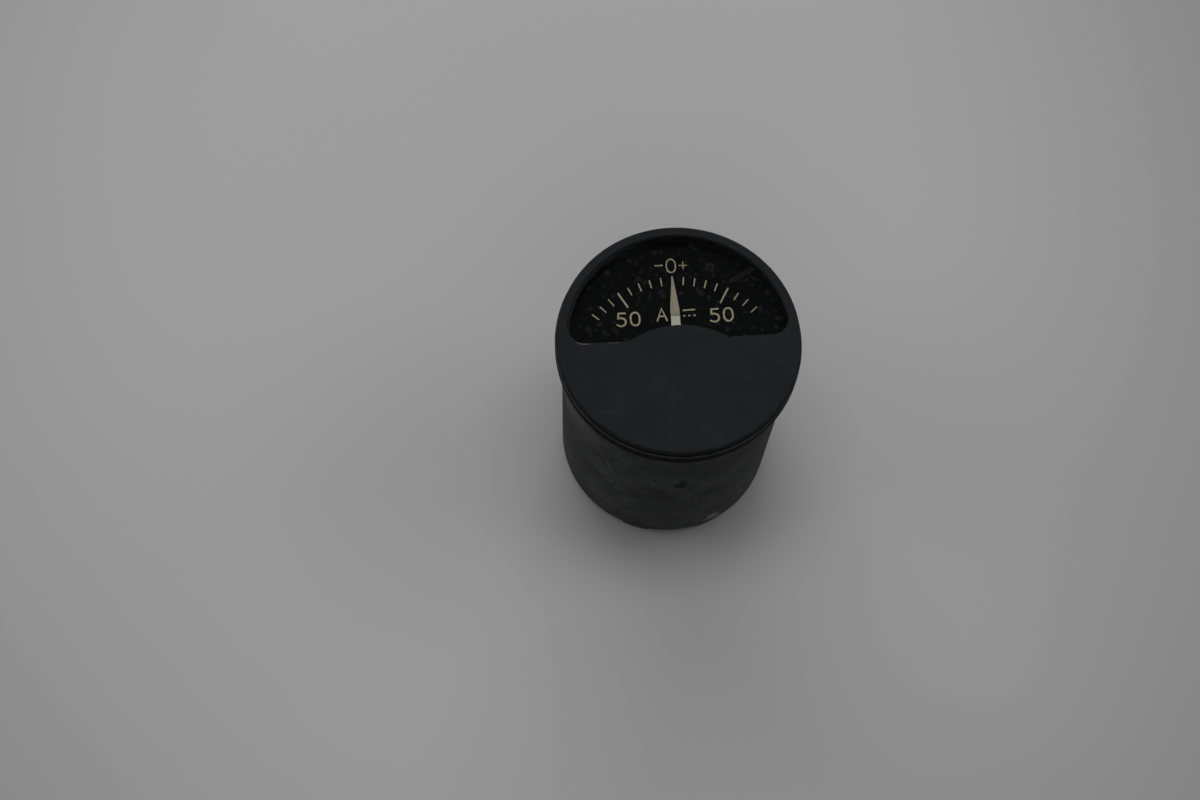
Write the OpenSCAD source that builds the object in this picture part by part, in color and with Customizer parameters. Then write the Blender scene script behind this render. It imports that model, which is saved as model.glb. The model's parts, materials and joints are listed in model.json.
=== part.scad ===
// Round clamp-mounted ammeter for direct current, zero in the middle of its scale.
// A moving-coil movement and its shunt stand on one chassis inside a painted case.
// It stands on its feet: +Z is the front, +Y is twelve o'clock, all sizes are in mm.

/* [Case] */
// Height from the feet to the front face
overall_h = 62.3; // [61:0.1:67]
// Outside diameter of the case barrel
case_d = 49.4; // [49:0.1:50]
// Thickness of the case wall
case_wall = 0.9; // [0.7:0.05:1]
// Thickness of the flange round the mouth of the case
flange_t = 0.8; // [0.6:0.1:1]
// Height of the feet below the rear rim of the case
foot_h = 1.9; // [1:0.1:2.4]
// Angle from six o'clock to the near edge of a foot
foot_start = 13; // [8:1:18]
// Angle that one foot covers
foot_span = 15; // [10:1:20]
// Diameter of a case screw
case_screw_d = 1.9; // [1.6:0.1:2.2]

/* [Front] */
// Step from the barrel out to the retaining ring
ring_out = 1.5; // [1.3:0.05:2]
// Thickness of the retaining ring's wall
ring_t = 0.4; // [0.35:0.05:0.6]
// Thickness of the mask's face
mask_t = 1.2; // [1:0.1:1.4]
// Thickness of the mask's side wall
mask_wall = 0.8; // [0.6:0.1:0.9]
// Rounding of the mask's front edge
mask_edge_r = 0.35; // [0.2:0.05:0.6]
// Step from the front face down to the retaining ring
ring_step = 2.35; // [2:0.05:2.8]
// Thickness of the ring's rear lip
ring_lip = 0.76; // [0.6:0.02:1]
// Thickness of the window glass
glass_t = 1.6; // [1.4:0.1:1.7]
// Thickness of the gasket under the glass
gasket_t = 0.8; // [0.6:0.1:1]

/* [Window] */
// Width of the rim round the window
window_rim = 1.95; // [1.8:0.05:2.6]
// Height of the window's lower edge above the pointer's pivot
chord_up = 7.3; // [6.8:0.1:8]
// Radius of the window's two lower corners
corner_r = 3.7; // [2.5:0.1:4.5]
// Radius of the hump in the middle of the lower edge
hump_r = 18.8; // [18:0.1:20]
// Depth of the centre of the hump's arc below the pointer's pivot
hump_down = 8.3; // [8:0.1:8.8]
// Radius that blends the left side of the hump
blend_left_r = 6; // [1:0.5:8]
// Radius that blends the right side of the hump
blend_right_r = 1; // [0.5:0.5:8]

/* [Dial] */
// Depth of the dial below the front face
dial_depth = 5.15; // [5:0.05:5.4]
// Thickness of the dial plate
dial_t = 0.6; // [0.4:0.1:0.8]
// Radius of the outer ends of the marks, about the pivot
mark_outer_r = 24; // [23.5:0.1:24.5]
// Length of a minor mark
minor_len = 2; // [1.5:0.1:2.5]
// Length of a major mark
major_len = 4.1; // [3.5:0.1:4.5]
// Width of a minor mark
minor_w = 0.3; // [0.25:0.05:0.5]
// Width of a major mark
major_w = 0.4; // [0.3:0.05:0.6]
// Angle between two marks
mark_step = 6; // [5:0.5:6]
// Marks on each side of zero
marks_each_side = 8; // [6:1:8]
// The mark, counted from zero, that is drawn long
major_mark = 5; // [2:1:6]
// Radius of a dial screw
dial_screw_r = 0.8; // [0.6:0.1:1]
// Radius of a dial post
dial_post_r = 1.6; // [1.3:0.1:1.8]

/* [Pointer] */
// Length of the pointer from its pivot to its tip
pointer_len = 23.9; // [22:0.1:24]
// Width of the pointer
pointer_w = 1.95; // [1.4:0.05:2.4]
// Width of the pointer at its tip
tip_w = 0.2; // [0.2:0.05:0.5]
// Length of the taper behind the tip
taper_len = 7.6; // [4:0.1:9]
// Thickness of the pointer
pointer_t = 0.25; // [0.2:0.05:0.35]
// Gap between the pointer and the dial
pointer_lift = 0.5; // [0.4:0.05:0.7]
// Length of the pointer's tail
tail_len = 7.6; // [7:0.1:8]
// Swing of the pointer to each side
swing = 50; // [44:1:50]
// Swing of the zero adjuster to each side
adjust_swing = 4; // [2:0.5:4]

/* [Magnet and coil] */
// Height of the pole pieces
pole_h = 13.4; // [12.5:0.1:13.6]
// Radius of the soft iron core
core_r = 5; // [4.6:0.1:5.1]
// How much shorter than the pole pieces the core is
core_short = 1; // [0.8:0.1:1.6]
// Running gap on each side of the coil
coil_gap = 0.35; // [0.3:0.05:0.4]
// Gap between the ends of the core and the coil
coil_end_gap = 0.6; // [0.4:0.1:0.8]
// Thickness of the coil former
former_t = 0.25; // [0.2:0.05:0.3]
// Thickness of the winding
winding_t = 0.5; // [0.4:0.05:0.55]
// Width of the coil
coil_w = 1.6; // [1.2:0.1:1.8]
// Thickness of a pole piece behind its bore
pole_t = 4.3; // [4.1:0.05:4.6]
// Length of a pole piece along its flat back
pole_len = 14; // [13.4:0.1:14.2]
// Thickness of the magnet
magnet_t = 4.6; // [4.2:0.1:4.9]
// Gap between the magnet's bend and the case
magnet_room = 0.7; // [0.4:0.1:1]
// Length of the magnet's straight legs
leg_len = 9.4; // [9:0.1:9.8]
// Thickness of the magnet clamp
clamp_t = 1; // [0.8:0.1:1.2]

/* [Bridges and pivots] */
// Thickness of the upper bridge
bridge_t = 0.8; // [0.7:0.05:0.85]
// Width of the bridges
bridge_w = 4.4; // [4.2:0.1:4.8]
// Thickness of the lower bridge
lower_bridge_t = 1.2; // [1:0.1:1.5]
// Height of a bridge pillar
pillar_h = 5.6; // [5.4:0.1:6.2]
// Radius of a bridge pillar
pillar_r = 1.6; // [1.3:0.1:1.6]
// Radius of the boss that the zero adjuster turns on
boss_r = 1.9; // [1.8:0.05:2]
// Thickness of the zero adjuster
adjuster_t = 0.5; // [0.4:0.05:0.55]
// Radius of a jewel screw
jewel_screw_r = 1.1; // [1:0.05:1.2]
// Radius of a jewel
jewel_r = 0.7; // [0.6:0.05:0.75]
// Thickness of a jewel
jewel_t = 0.8; // [0.7:0.05:0.9]
// Depth of a jewel's cup
cup_depth = 0.5; // [0.45:0.05:0.6]
// Radius of a pivot
pivot_r = 0.2; // [0.15:0.05:0.25]
// Radius of the staffs
staff_r = 0.6; // [0.5:0.05:0.7]

/* [Hairsprings] */
// Thickness of the hairspring strip
spring_t = 0.12; // [0.1:0.01:0.16]
// Height of the hairspring strip
spring_h = 0.35; // [0.25:0.05:0.4]
// Turns of a hairspring
spring_turns = 4; // [3:0.5:4]
// Radius of the collet that holds a hairspring
collet_r = 1.2; // [1:0.05:1.3]
// Distance of the spring posts from the pivot
post_x = 4.6; // [4.4:0.1:4.7]
// Radius of a spring post
post_r = 0.35; // [0.3:0.05:0.4]

/* [Chassis] */
// Thickness of the movement plate
plate_t = 4; // [3.6:0.1:4.2]
// Radius of a spacer post
spacer_r = 2.5; // [2.2:0.1:2.6]
// Distance of the spacer posts' axes from the inside of the case
spacer_inset = 5.3; // [5.2:0.1:5.6]
// Radius of the small screws in the movement
small_screw_r = 0.8; // [0.6:0.05:0.85]
// Radius of the screws that hold the rear base
base_screw_r = 1.25; // [1:0.05:1.4]

/* [Rear base and terminals] */
// Depth of the terminal well
well_depth = 13.3; // [13:0.1:14]
// Thickness of the base's floor
floor_t = 3; // [2.5:0.1:3.5]
// Thickness of the wall round the well
well_wall = 1.9; // [1.5:0.1:2]
// Distance between the two terminal studs
stud_spacing = 20; // [19:0.5:20]
// Radius of a terminal stud
stud_r = 3; // [2.5:0.1:3]
// Distance across the flats of a terminal nut
nut_af = 10; // [9:0.1:10]
// Thickness of a terminal nut
nut_t = 3; // [2.5:0.1:3.2]

/* [Shunt and resistor] */
// Width of a shunt block
block_w = 10; // [9.6:0.1:10.2]
// Height of a shunt block
block_h = 7; // [6:0.1:7.5]
// Thickness of a shunt strip
strip_t = 0.5; // [0.3:0.05:0.8]
// Height of a shunt strip
strip_h = 4.5; // [3.5:0.1:5]
// Shunt strips between the blocks
strips = 3; // [1:1:3]
// Radius of the resistor spool's flanges
spool_r = 4.2; // [3.8:0.1:4.3]
// Length of the resistor spool
spool_len = 8.5; // [7:0.1:8.6]
// Radius of the connecting wires
wire_r = 0.45; // [0.35:0.05:0.5]

/* [Hidden] */
$fn = 72;

// Clearances
fit_gap = 0.02;        // a pin or screw in its hole, on the radius
run_gap = 0.05;        // a bearing or a sliding fit, on the radius
seat_gap = 0.1;        // a loose seat or a stack that is free to turn
step_gap = 0.3;        // clear space between pieces that must not touch
cut = 1;               // how far a cut or a joined piece runs past the face it starts from
chamfer = 0.2;         // edge break on the turned pieces
slot_w = 0.4;          // driver slot
slot_depth = 0.35;     // depth of a driver slot

// Levels of the front, from the face down
face_z = overall_h;
glass_top = face_z - mask_t;
glass_bottom = glass_top - glass_t;
flange_top = glass_bottom - gasket_t;
flange_bottom = flange_top - flange_t;
ring_top = face_z - ring_step;
ring_bottom = flange_bottom - ring_lip;
rim_z = foot_h;

// Radii of the front and the case
case_r = case_d / 2;
case_in = case_r - case_wall;
neck_r = case_r - step_gap;
lip_in = case_r + seat_gap;
bezel_r = case_r + ring_out;
ring_in = bezel_r - ring_t;
mask_r = ring_in - run_gap;
mask_in = mask_r - mask_wall;
window_r = mask_r - window_rim;
glass_r = mask_in - seat_gap;

// Dial
dial_top = face_z - dial_depth;
dial_bottom = dial_top - dial_t;
dial_r = case_in - step_gap;
dial_hole_r = hump_r - hump_down - 1;  // round opening in the dial, under the hump
dial_screw_y = -6;
dial_head_h = 0.6;
mark_t = 0.05;
stop_r = 0.4;          // pointer stop
stop_at = 14;          // distance of a stop from the pivot
stop_h = 0.9;          // height of a stop above the dial
stop_angle = swing + adjust_swing + asin((pointer_w / 2 + stop_r) / stop_at) + 0.4;

// Upper bridge, poles and movement plate, from the glass down
jewel_nut_t = 0.7;
jewel_proud = 0.2;     // how far a jewel screw stands out of its nut
glass_room = 0.5;      // between the glass and the upper jewel screw
bridge_top = glass_bottom - glass_room - jewel_proud - jewel_nut_t;
bridge_bottom = bridge_top - bridge_t;
pole_top = bridge_bottom - pillar_h;
plate_top = pole_top - pole_h;
plate_mid = plate_top - plate_t / 2;
plate_bottom = plate_top - plate_t;
plate_r = case_in - run_gap;
tap_depth = 3;         // how far screws and spigots enter what they hold

// Core, coil and poles
core_h = pole_h - core_short;
core_mid = plate_top + pole_h / 2;
former_in = core_r + coil_gap;
former_out = former_in + former_t;
coil_out = former_out + winding_t;
coil_corner = norm([coil_out, coil_w / 2]);
pole_r = coil_corner + coil_gap;
poles_w = 2 * (pole_r + pole_t);
pillar_x = pole_r + pole_t / 2;
magnet_r = poles_w / 2 + magnet_t;
pivot_y = magnet_r + magnet_room - case_in;
dial_screw_x = (magnet_r + dial_r) / 2;
coil_in_h = core_h + 2 * coil_end_gap;
coil_h = coil_in_h + 2 * (former_t + winding_t);
coil_top = core_mid + coil_h / 2;
coil_bottom = core_mid - coil_h / 2;
cheek_t = 0.15;        // side cheeks of the former
horn_x = 2.2;          // half the gap between the two pole horns
core_flat_y = core_r - 0.2;
plate_bore_r = coil_corner + 1;
chord_y = pivot_y + chord_up;
hump_y = pivot_y - hump_down;

// Clamp and core bracket
clamp_y = pole_len / 2 + 0.4;
clamp_w = 2.6;
clamp_screw_x = pillar_x;
bracket_y = -(pole_len / 2 + 0.4);
bracket_t = 2.6;
bracket_w = 3.2;
arm_w = 2.6;
arm_h = 4;
core_screw_head = 0.5;

// Small screws
small_head_r = 1.5;
small_head_h = 0.6;
frame_screw_y = 4;
frame_grip = 4;        // how far a frame screw enters the pole piece or bracket
frame_screw_len = plate_t + frame_grip;

// Zero adjuster and upper pivot, from the bridge down
bridge_half = pillar_x + pillar_r + 1.6;
adjuster_top = bridge_bottom - seat_gap;
adjuster_bottom = adjuster_top - adjuster_t;
clip_t = 0.4;
clip_top = adjuster_bottom - seat_gap;
clip_bottom = clip_top - clip_t;
boss_bottom = clip_bottom - step_gap;
upper_cup_z = boss_bottom + seat_gap;
jewel_nut_r = 1.9;
jewel_screw_len = bridge_top + jewel_nut_t + jewel_proud - upper_cup_z;
tip_play = 0.05;       // end shake of each pivot
tip_len = 0.25;
tip_r = 0.03;
cup_r = pivot_r + 0.22;
staff_top = boss_bottom - step_gap;
collet_h = 0.5;
upper_collet_z = staff_top - seat_gap - collet_h;
hub_t = 0.4;
hub_r = 1.9;
hub_top = upper_collet_z - step_gap;
hub_bottom = hub_top - hub_t;
blade_z = dial_top + pointer_lift;
crank_in = 5;          // where the pointer starts to rise, from the pivot
crank_out = 6.8;       // where it reaches its height over the dial
arm_r = 0.3;
weight_r = 0.8;
weight_len = 1.8;
weight_at_end = 0.2;   // bare end of an arm past its weight
side_arm_len = pillar_x - pillar_r - 0.6;

// Lower bridge and pivot
lower_bridge_z = plate_bottom - lower_bridge_t;
bore_land = 2.45;      // from the plate's bore to a lower bridge screw
bridge_end = 2.9;      // from that screw to the end of the bridge
lower_screw_x = plate_bore_r + bore_land;
lower_bridge_half = lower_screw_x + bridge_end;
lower_cup_z = plate_bottom + 0.4;
staff_bottom = lower_cup_z + 0.4;
lower_collet_z = staff_bottom + 0.2;
foot_disc_t = 0.5;
foot_disc_r = 1.4;

// Rear base
floor_bottom = rim_z + well_depth;
floor_top = floor_bottom + floor_t;
base_r = case_in - seat_gap;
well_r = base_r - well_wall;
foot_r = case_r - step_gap;
foot_inset = 0.3;      // the feet stand this far inside the faces of the well's wall
foot_root = 0.5;       // and reach this far up into it
foot_top = rim_z - seat_gap;  // the case rim stays just clear of the feet
foot_angles = [270 + foot_start, 270 - foot_start - foot_span,
               90 + foot_start, 90 - foot_start - foot_span];
spacer_angles = [90, 210, 330];
case_screw_angles = [270, 30, 150];
case_screw_len = 3.6;
case_screw_sink = 0.5; // the case screws lie this far below the surface
spacer_at = case_in - spacer_inset;
base_grip = 5;         // how far a base screw enters its post
base_head_r = 2.3;
base_head_h = 1.6;
spigot_r = 1.5;

// Terminals, from the floor out
stud_x = stud_spacing / 2;
washer_t = 1;
lock_t = 0.9;
stud_end = foot_h + 0.3;
washer_r = nut_af / 2 + 0.4;
washer_z = floor_bottom - washer_t;
clamp_nut_z = washer_z - nut_t;
lock_z = clamp_nut_z - lock_t;
outer_nut_z = lock_z - nut_t;
groove_w = 0.4;
groove_depth = 0.4;

// Shunt, sense screws and tags
block_top = floor_top + block_h;
block_len = 2 * (spacer_at * sin(30) - spacer_r - 0.25);
strip_in = 1.5;        // how far a strip enters its block
strip_pitch = 4.2;
sense_x = stud_x + 2.6;
sense_y = 4.2;
tag_t = 0.3;
tag_r = 1.8;
tag_w = 1.4;
tag_end_y = 9;
tag_top = block_top + tag_t;

// Resistor spool under the plate
spool_y = 9.1;
spool_z = plate_bottom - spool_len;
spool_flange_t = 1;
spool_core_r = 2;
winding_r = spool_r - 0.6;
lead_hole = [13.5, 8];
lead_hole_r = 1.2;
lead_bend = 1.2;       // bend of a connecting wire
lead_inset = 0.8;      // a wire meets its tag or bridge this far from the end

// Points of an arc of radius r about c, from angle a0 to angle a1
function arc(c, r, a0, a1, n = 24) =
    [for (i = [0:n]) let (a = a0 + (a1 - a0) * i / n) c + r * [cos(a), sin(a)]];

// Points of a spiral strip that ends at angle a1, with its outer end at radius r1
function spiral(r0, r1, turns, a1, t, steps = 30) =
    let (n = round(turns * steps))
    [for (i = [0:n]) let (a = a1 - 360 * turns * (1 - i / n), r = r0 + (r1 - r0) * i / n + t / 2)
        r * [cos(a), sin(a)]];

// Unit vector along v
function unit(v) = v / norm(v);

module rod(r, z0, z1) {
    translate([0, 0, z0]) cylinder(r = r, h = z1 - z0);
}

module tube(r_out, r_in, z0, z1) {
    difference() {
        rod(r_out, z0, z1);
        rod(r_in, z0 - cut, z1 + cut);
    }
}

// A slotted screw with its head up: the head's underside is at z = 0
module screw(r, len, head_r, head_h) {
    difference() {
        union() {
            rod(head_r, 0, head_h);
            rod(r, -len, head_h / 2);
        }
        translate([-head_r - cut, -slot_w / 2, head_h - slot_depth])
            cube([2 * head_r + 2 * cut, slot_w, slot_depth + cut]);
    }
}

module small_screw(len) {
    screw(small_screw_r, len, small_head_r, small_head_h);
}

module small_hole(z0, z1) {
    rod(small_screw_r + fit_gap, z0, z1);
}

module at_pivot() {
    translate([0, pivot_y, 0]) children();
}

// Copies at the left and at the right
module both_sides(x, y = 0) {
    for (side = [-1, 1]) translate([side * x, y, 0]) children();
}

module around(angles, r) {
    for (a = angles) rotate([0, 0, a]) translate([r, 0, 0]) children();
}

// A hexagon nut with its underside at z
module hex_nut(af, t, bore_r, z) {
    difference() {
        translate([0, 0, z]) cylinder(r = af / 2 / cos(30), h = t, $fn = 6);
        rod(bore_r, z - cut, z + t + cut);
    }
}

// A round wire along a list of points
module wire(points, r, sides = 8) {
    last = len(points) - 1;
    lean = [0.31, 0.95, 0.05];
    rings = [for (i = [0:last])
        let (t = unit(points[min(i + 1, last)] - points[max(i - 1, 0)]),
             u = unit(cross(t, lean)), v = cross(t, u))
        for (k = [0:sides - 1]) points[i] + r * (u * cos(360 * k / sides) + v * sin(360 * k / sides))];
    walls = [for (i = [0:last - 1]) for (k = [0:sides - 1])
        let (a = i * sides + k, b = i * sides + (k + 1) % sides)
        each [[a, a + sides, b + sides], [a, b + sides, b]]];
    near_cap = [for (k = [0:sides - 1]) k];
    far_cap = [for (k = [sides - 1:-1:0]) last * sides + k];
    polyhedron(points = rings, faces = concat(walls, [near_cap, far_cap]));
}

// Turned can with a flange round its mouth
module case() {
    color("#2c2c2b") difference() {
        rotate_extrude() polygon([
            [case_in, rim_z], [case_r - chamfer, rim_z], [case_r, rim_z + chamfer],
            [case_r, ring_bottom], [neck_r, ring_bottom], [neck_r, flange_bottom],
            [ring_in - seat_gap, flange_bottom], [ring_in - seat_gap, flange_top],
            [case_in, flange_top]
        ]);
        for (a = case_screw_angles) rotate([0, 0, a]) translate([0, 0, plate_mid])
            rotate([0, 90, 0]) cylinder(d = case_screw_d + 2 * run_gap, h = bezel_r);
    }
}

// Ring spun over the case flange
module retaining_ring() {
    color("#18191b") rotate_extrude() polygon([
        [ring_in, ring_top], [bezel_r - chamfer, ring_top], [bezel_r, ring_top - chamfer],
        [bezel_r, ring_bottom + chamfer], [bezel_r - chamfer, ring_bottom],
        [lip_in, ring_bottom], [lip_in, flange_bottom], [ring_in, flange_bottom]
    ]);
}

// Outline of the window: an arc, two round corners and a hump in the lower edge
module window_outline() {
    corner_y = chord_y + corner_r;
    corner_x = sqrt(pow(window_r - corner_r, 2) - pow(corner_y, 2));
    corner_a = atan2(corner_y, corner_x);
    left_x = sqrt(pow(hump_r + blend_left_r, 2) - pow(chord_y + blend_left_r - hump_y, 2));
    right_x = sqrt(pow(hump_r + blend_right_r, 2) - pow(chord_y + blend_right_r - hump_y, 2));
    left_a = atan2(chord_y + blend_left_r - hump_y, -left_x);
    right_a = atan2(chord_y + blend_right_r - hump_y, right_x);
    polygon(concat(
        arc([0, 0], window_r, corner_a, 180 - corner_a, 72),
        arc([-corner_x, corner_y], corner_r, 180 - corner_a, 270, 12),
        arc([-left_x, chord_y + blend_left_r], blend_left_r, 270, left_a + 180, 10),
        arc([0, hump_y], hump_r, left_a, right_a, 30),
        arc([right_x, chord_y + blend_right_r], blend_right_r, right_a + 180, 270, 4),
        arc([corner_x, corner_y], corner_r, -90, corner_a, 12)
    ));
}

// Cup-shaped front with the window cut in its face
module front_mask() {
    color("#26282a") difference() {
        rotate_extrude() polygon(concat(
            [[0, glass_top], [mask_in, glass_top], [mask_in, flange_top], [mask_r, flange_top]],
            arc([mask_r - mask_edge_r, face_z - mask_edge_r], mask_edge_r, 0, 90, 5),
            [[0, face_z]]
        ));
        translate([0, 0, glass_top - cut]) linear_extrude(mask_t + 2 * cut) window_outline();
    }
}

module window_glass() {
    color([0.8, 0.85, 0.85, 0.3]) rod(glass_r, glass_bottom, glass_top);
}

module glass_gasket() {
    color("#151515") tube(glass_r, case_in + seat_gap, flange_top, glass_bottom);
}

// Moulded base: floor, wall of the terminal well, and four feet under the case rim
module rear_base() {
    color("#141210") difference() {
        union() {
            rotate_extrude() polygon([
                [0, floor_bottom], [well_r, floor_bottom], [well_r, rim_z],
                [base_r, rim_z], [base_r, floor_top], [0, floor_top]
            ]);
            for (a = foot_angles) rotate([0, 0, a]) rotate_extrude(angle = foot_span) polygon([
                [well_r + foot_inset, 0], [foot_r, 0], [foot_r, foot_top], [base_r - foot_inset, foot_top],
                [base_r - foot_inset, rim_z + foot_root], [well_r + foot_inset, rim_z + foot_root]
            ]);
        }
        both_sides(stud_x) rod(stud_r + seat_gap, floor_bottom - cut, floor_top + cut);
        around(spacer_angles, spacer_at)
            rod(base_screw_r + seat_gap, floor_bottom - cut, floor_top + cut);
    }
}

// Headless screws through the case wall into the plate's edge
module case_screws() {
    color("#1a1a1a") for (a = case_screw_angles) rotate([0, 0, a])
        translate([case_r - case_screw_sink, 0, plate_mid]) rotate([0, -90, 0]) difference() {
            cylinder(d = case_screw_d, h = case_screw_len);
            translate([-case_screw_d, -slot_w / 2, -1])
                cube([2 * case_screw_d, slot_w, 1 + slot_depth]);
        }
}

module base_screws() {
    color("#8f8b80") around(spacer_angles, spacer_at) translate([0, 0, floor_bottom])
        mirror([0, 0, 1]) screw(base_screw_r, floor_t + base_grip, base_head_r, base_head_h);
}

// Posts between the rear base and the movement plate
module spacer_posts() {
    color("#b59a55") around(spacer_angles, spacer_at) difference() {
        union() {
            rod(spacer_r, floor_top, plate_bottom);
            rod(spigot_r, plate_bottom - cut, plate_bottom + tap_depth);
        }
        rod(base_screw_r + fit_gap, floor_top - cut, floor_top + base_grip + seat_gap);
    }
}

// Round plate that carries the movement
module movement_plate() {
    color("#a9a294") difference() {
        rod(plate_r, plate_bottom, plate_top);
        at_pivot() rod(plate_bore_r, plate_bottom - cut, plate_top + cut);
        around(spacer_angles, spacer_at)
            rod(spigot_r + fit_gap, plate_bottom - cut, plate_bottom + tap_depth + seat_gap);
        for (a = case_screw_angles) rotate([0, 0, a]) translate([plate_r - case_screw_len, 0, plate_mid])
            rotate([0, 90, 0]) cylinder(d = case_screw_d + 2 * fit_gap, h = case_screw_len + cut);
        both_sides(dial_screw_x, dial_screw_y)
            small_hole(plate_top - tap_depth - seat_gap, plate_top + cut);
        at_pivot() {
            for (y = [-1, 1]) both_sides(pillar_x, y * frame_screw_y)
                small_hole(plate_bottom - cut, plate_top + cut);
            translate([0, bracket_y - bracket_t / 2, 0]) small_hole(plate_bottom - cut, plate_top + cut);
            both_sides(clamp_screw_x, clamp_y + clamp_w / 2)
                small_hole(plate_top - tap_depth - seat_gap, plate_top + cut);
            both_sides(lower_screw_x)
                small_hole(plate_bottom - cut, plate_bottom + tap_depth + seat_gap);
        }
        translate([0, spool_y, 0]) small_hole(plate_bottom - cut, plate_bottom + tap_depth + seat_gap);
        translate(lead_hole) rod(lead_hole_r, plate_bottom - cut, plate_top + cut);
    }
}

// Dial with an opening for the hub and the bridge, which the mask hides
module dial_plate() {
    slot_x = bridge_half + 0.8;
    slot_y = bridge_w / 2 + 0.8;
    color("#0c0c0d") difference() {
        rod(dial_r, dial_bottom, dial_top);
        at_pivot() {
            rod(dial_hole_r, dial_bottom - cut, dial_top + cut);
            translate([-slot_x, -slot_y, dial_bottom - cut]) cube([2 * slot_x, 2 * slot_y, dial_t + 2 * cut]);
            for (side = [-1, 1]) rotate([0, 0, side * stop_angle]) translate([0, stop_at, 0])
                rod(stop_r + fit_gap, dial_bottom - cut, dial_top + cut);
        }
        both_sides(dial_screw_x, dial_screw_y)
            rod(dial_screw_r + seat_gap, dial_bottom - cut, dial_top + cut);
    }
}

// Painted marks, longer at the figure on each side and at zero
module scale_marks() {
    color("#c9c2a4") at_pivot() for (i = [-marks_each_side:marks_each_side]) {
        is_major = i == 0 || abs(i) == major_mark;
        mark_len = is_major ? major_len : minor_len;
        w = is_major ? major_w : minor_w;
        rotate([0, 0, -i * mark_step]) translate([-w / 2, mark_outer_r - mark_len, dial_top])
            cube([w, mark_len, mark_t]);
    }
}

module dial_posts() {
    color("#b59a55") both_sides(dial_screw_x, dial_screw_y) difference() {
        union() {
            rod(dial_post_r, plate_top, dial_bottom);
            rod(small_screw_r, plate_top - tap_depth, plate_top + cut);
        }
        rod(dial_screw_r + fit_gap, dial_bottom - tap_depth - seat_gap, dial_bottom + cut);
    }
}

module dial_screws() {
    color("#1a1a1a") both_sides(dial_screw_x, dial_screw_y) translate([0, 0, dial_top])
        screw(dial_screw_r, dial_t + tap_depth, small_head_r, dial_head_h);
}

module pointer_stops() {
    color("#1a1a1a") at_pivot() for (side = [-1, 1]) rotate([0, 0, side * stop_angle])
        translate([0, stop_at, 0]) rod(stop_r, dial_bottom, dial_top + stop_h);
}

// Horseshoe magnet, open towards twelve o'clock
module magnet() {
    inner = poles_w / 2;
    color("#4b4e52") at_pivot() translate([0, 0, plate_top]) linear_extrude(pole_h) difference() {
        union() {
            circle(r = magnet_r);
            translate([-magnet_r, 0]) square([2 * magnet_r, leg_len]);
        }
        circle(r = inner);
        translate([-inner, 0]) square([2 * inner, leg_len + cut]);
    }
}

// Bar across the ends of the magnet
module magnet_clamp() {
    color("#b59a55") at_pivot() difference() {
        translate([-magnet_r + 0.8, clamp_y, pole_top]) cube([2 * magnet_r - 1.6, clamp_w, clamp_t]);
        both_sides(clamp_screw_x, clamp_y + clamp_w / 2) small_hole(pole_top - cut, pole_top + clamp_t + cut);
    }
}

module clamp_screws() {
    color("#8f8b80") at_pivot() both_sides(clamp_screw_x, clamp_y + clamp_w / 2)
        translate([0, 0, pole_top + clamp_t]) small_screw(clamp_t + pole_h + tap_depth);
}

// One soft iron pole piece; side is -1 for the left and 1 for the right
module pole_piece(side) {
    back = poles_w / 2;
    color("#77736c") at_pivot() difference() {
        translate([0, 0, plate_top]) linear_extrude(pole_h) intersection() {
            translate([side > 0 ? horn_x : -back, -pole_len / 2]) square([back - horn_x, pole_len]);
            union() {
                circle(r = back - fit_gap);
                translate([-back, 0]) square([2 * back, pole_len]);
            }
        }
        rod(pole_r, plate_top - cut, pole_top + cut);
        translate([side * pillar_x, 0, 0]) small_hole(pole_top - tap_depth - seat_gap, pole_top + cut);
        for (y = [-1, 1]) translate([side * pillar_x, y * frame_screw_y, 0])
            small_hole(plate_top - cut, plate_bottom + frame_screw_len + seat_gap);
    }
}

module pole_piece_left() {
    pole_piece(-1);
}

module pole_piece_right() {
    pole_piece(1);
}

// Screws from under the plate into the pole pieces and the core bracket
module frame_screws() {
    color("#8f8b80") at_pivot() {
        for (y = [-1, 1]) both_sides(pillar_x, y * frame_screw_y) translate([0, 0, plate_bottom])
            mirror([0, 0, 1]) small_screw(frame_screw_len);
        translate([0, bracket_y - bracket_t / 2, plate_bottom])
            mirror([0, 0, 1]) small_screw(frame_screw_len);
    }
}

// Soft iron core with a flat where its bracket bears
module core() {
    color("#77736c") at_pivot() difference() {
        rod(core_r, core_mid - core_h / 2, core_mid + core_h / 2);
        translate([-core_r, -core_flat_y - core_r, core_mid - core_h / 2 - cut])
            cube([2 * core_r, core_r, core_h + 2 * cut]);
        translate([0, -core_flat_y - cut, core_mid]) rotate([-90, 0, 0])
            cylinder(r = small_screw_r + fit_gap, h = tap_depth + seat_gap + cut);
    }
}

// Post that holds the core between the pole horns
module core_bracket() {
    color("#b59a55") at_pivot() difference() {
        union() {
            translate([-bracket_w / 2, bracket_y - bracket_t, plate_top])
                cube([bracket_w, bracket_t, core_mid + arm_h / 2 - plate_top]);
            translate([-arm_w / 2, bracket_y - cut, core_mid - arm_h / 2])
                cube([arm_w, cut - bracket_y - core_flat_y, arm_h]);
        }
        translate([0, bracket_y - bracket_t - cut, core_mid]) rotate([-90, 0, 0])
            cylinder(r = small_screw_r + fit_gap, h = bracket_t - bracket_y);
        translate([0, bracket_y - bracket_t / 2, 0])
            small_hole(plate_top - cut, plate_bottom + frame_screw_len + seat_gap);
    }
}

module core_screw() {
    color("#8f8b80") at_pivot() translate([0, bracket_y - bracket_t, core_mid]) rotate([90, 0, 0])
        screw(small_screw_r, bracket_t - bracket_y - core_flat_y + tap_depth, small_head_r, core_screw_head);
}

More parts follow.
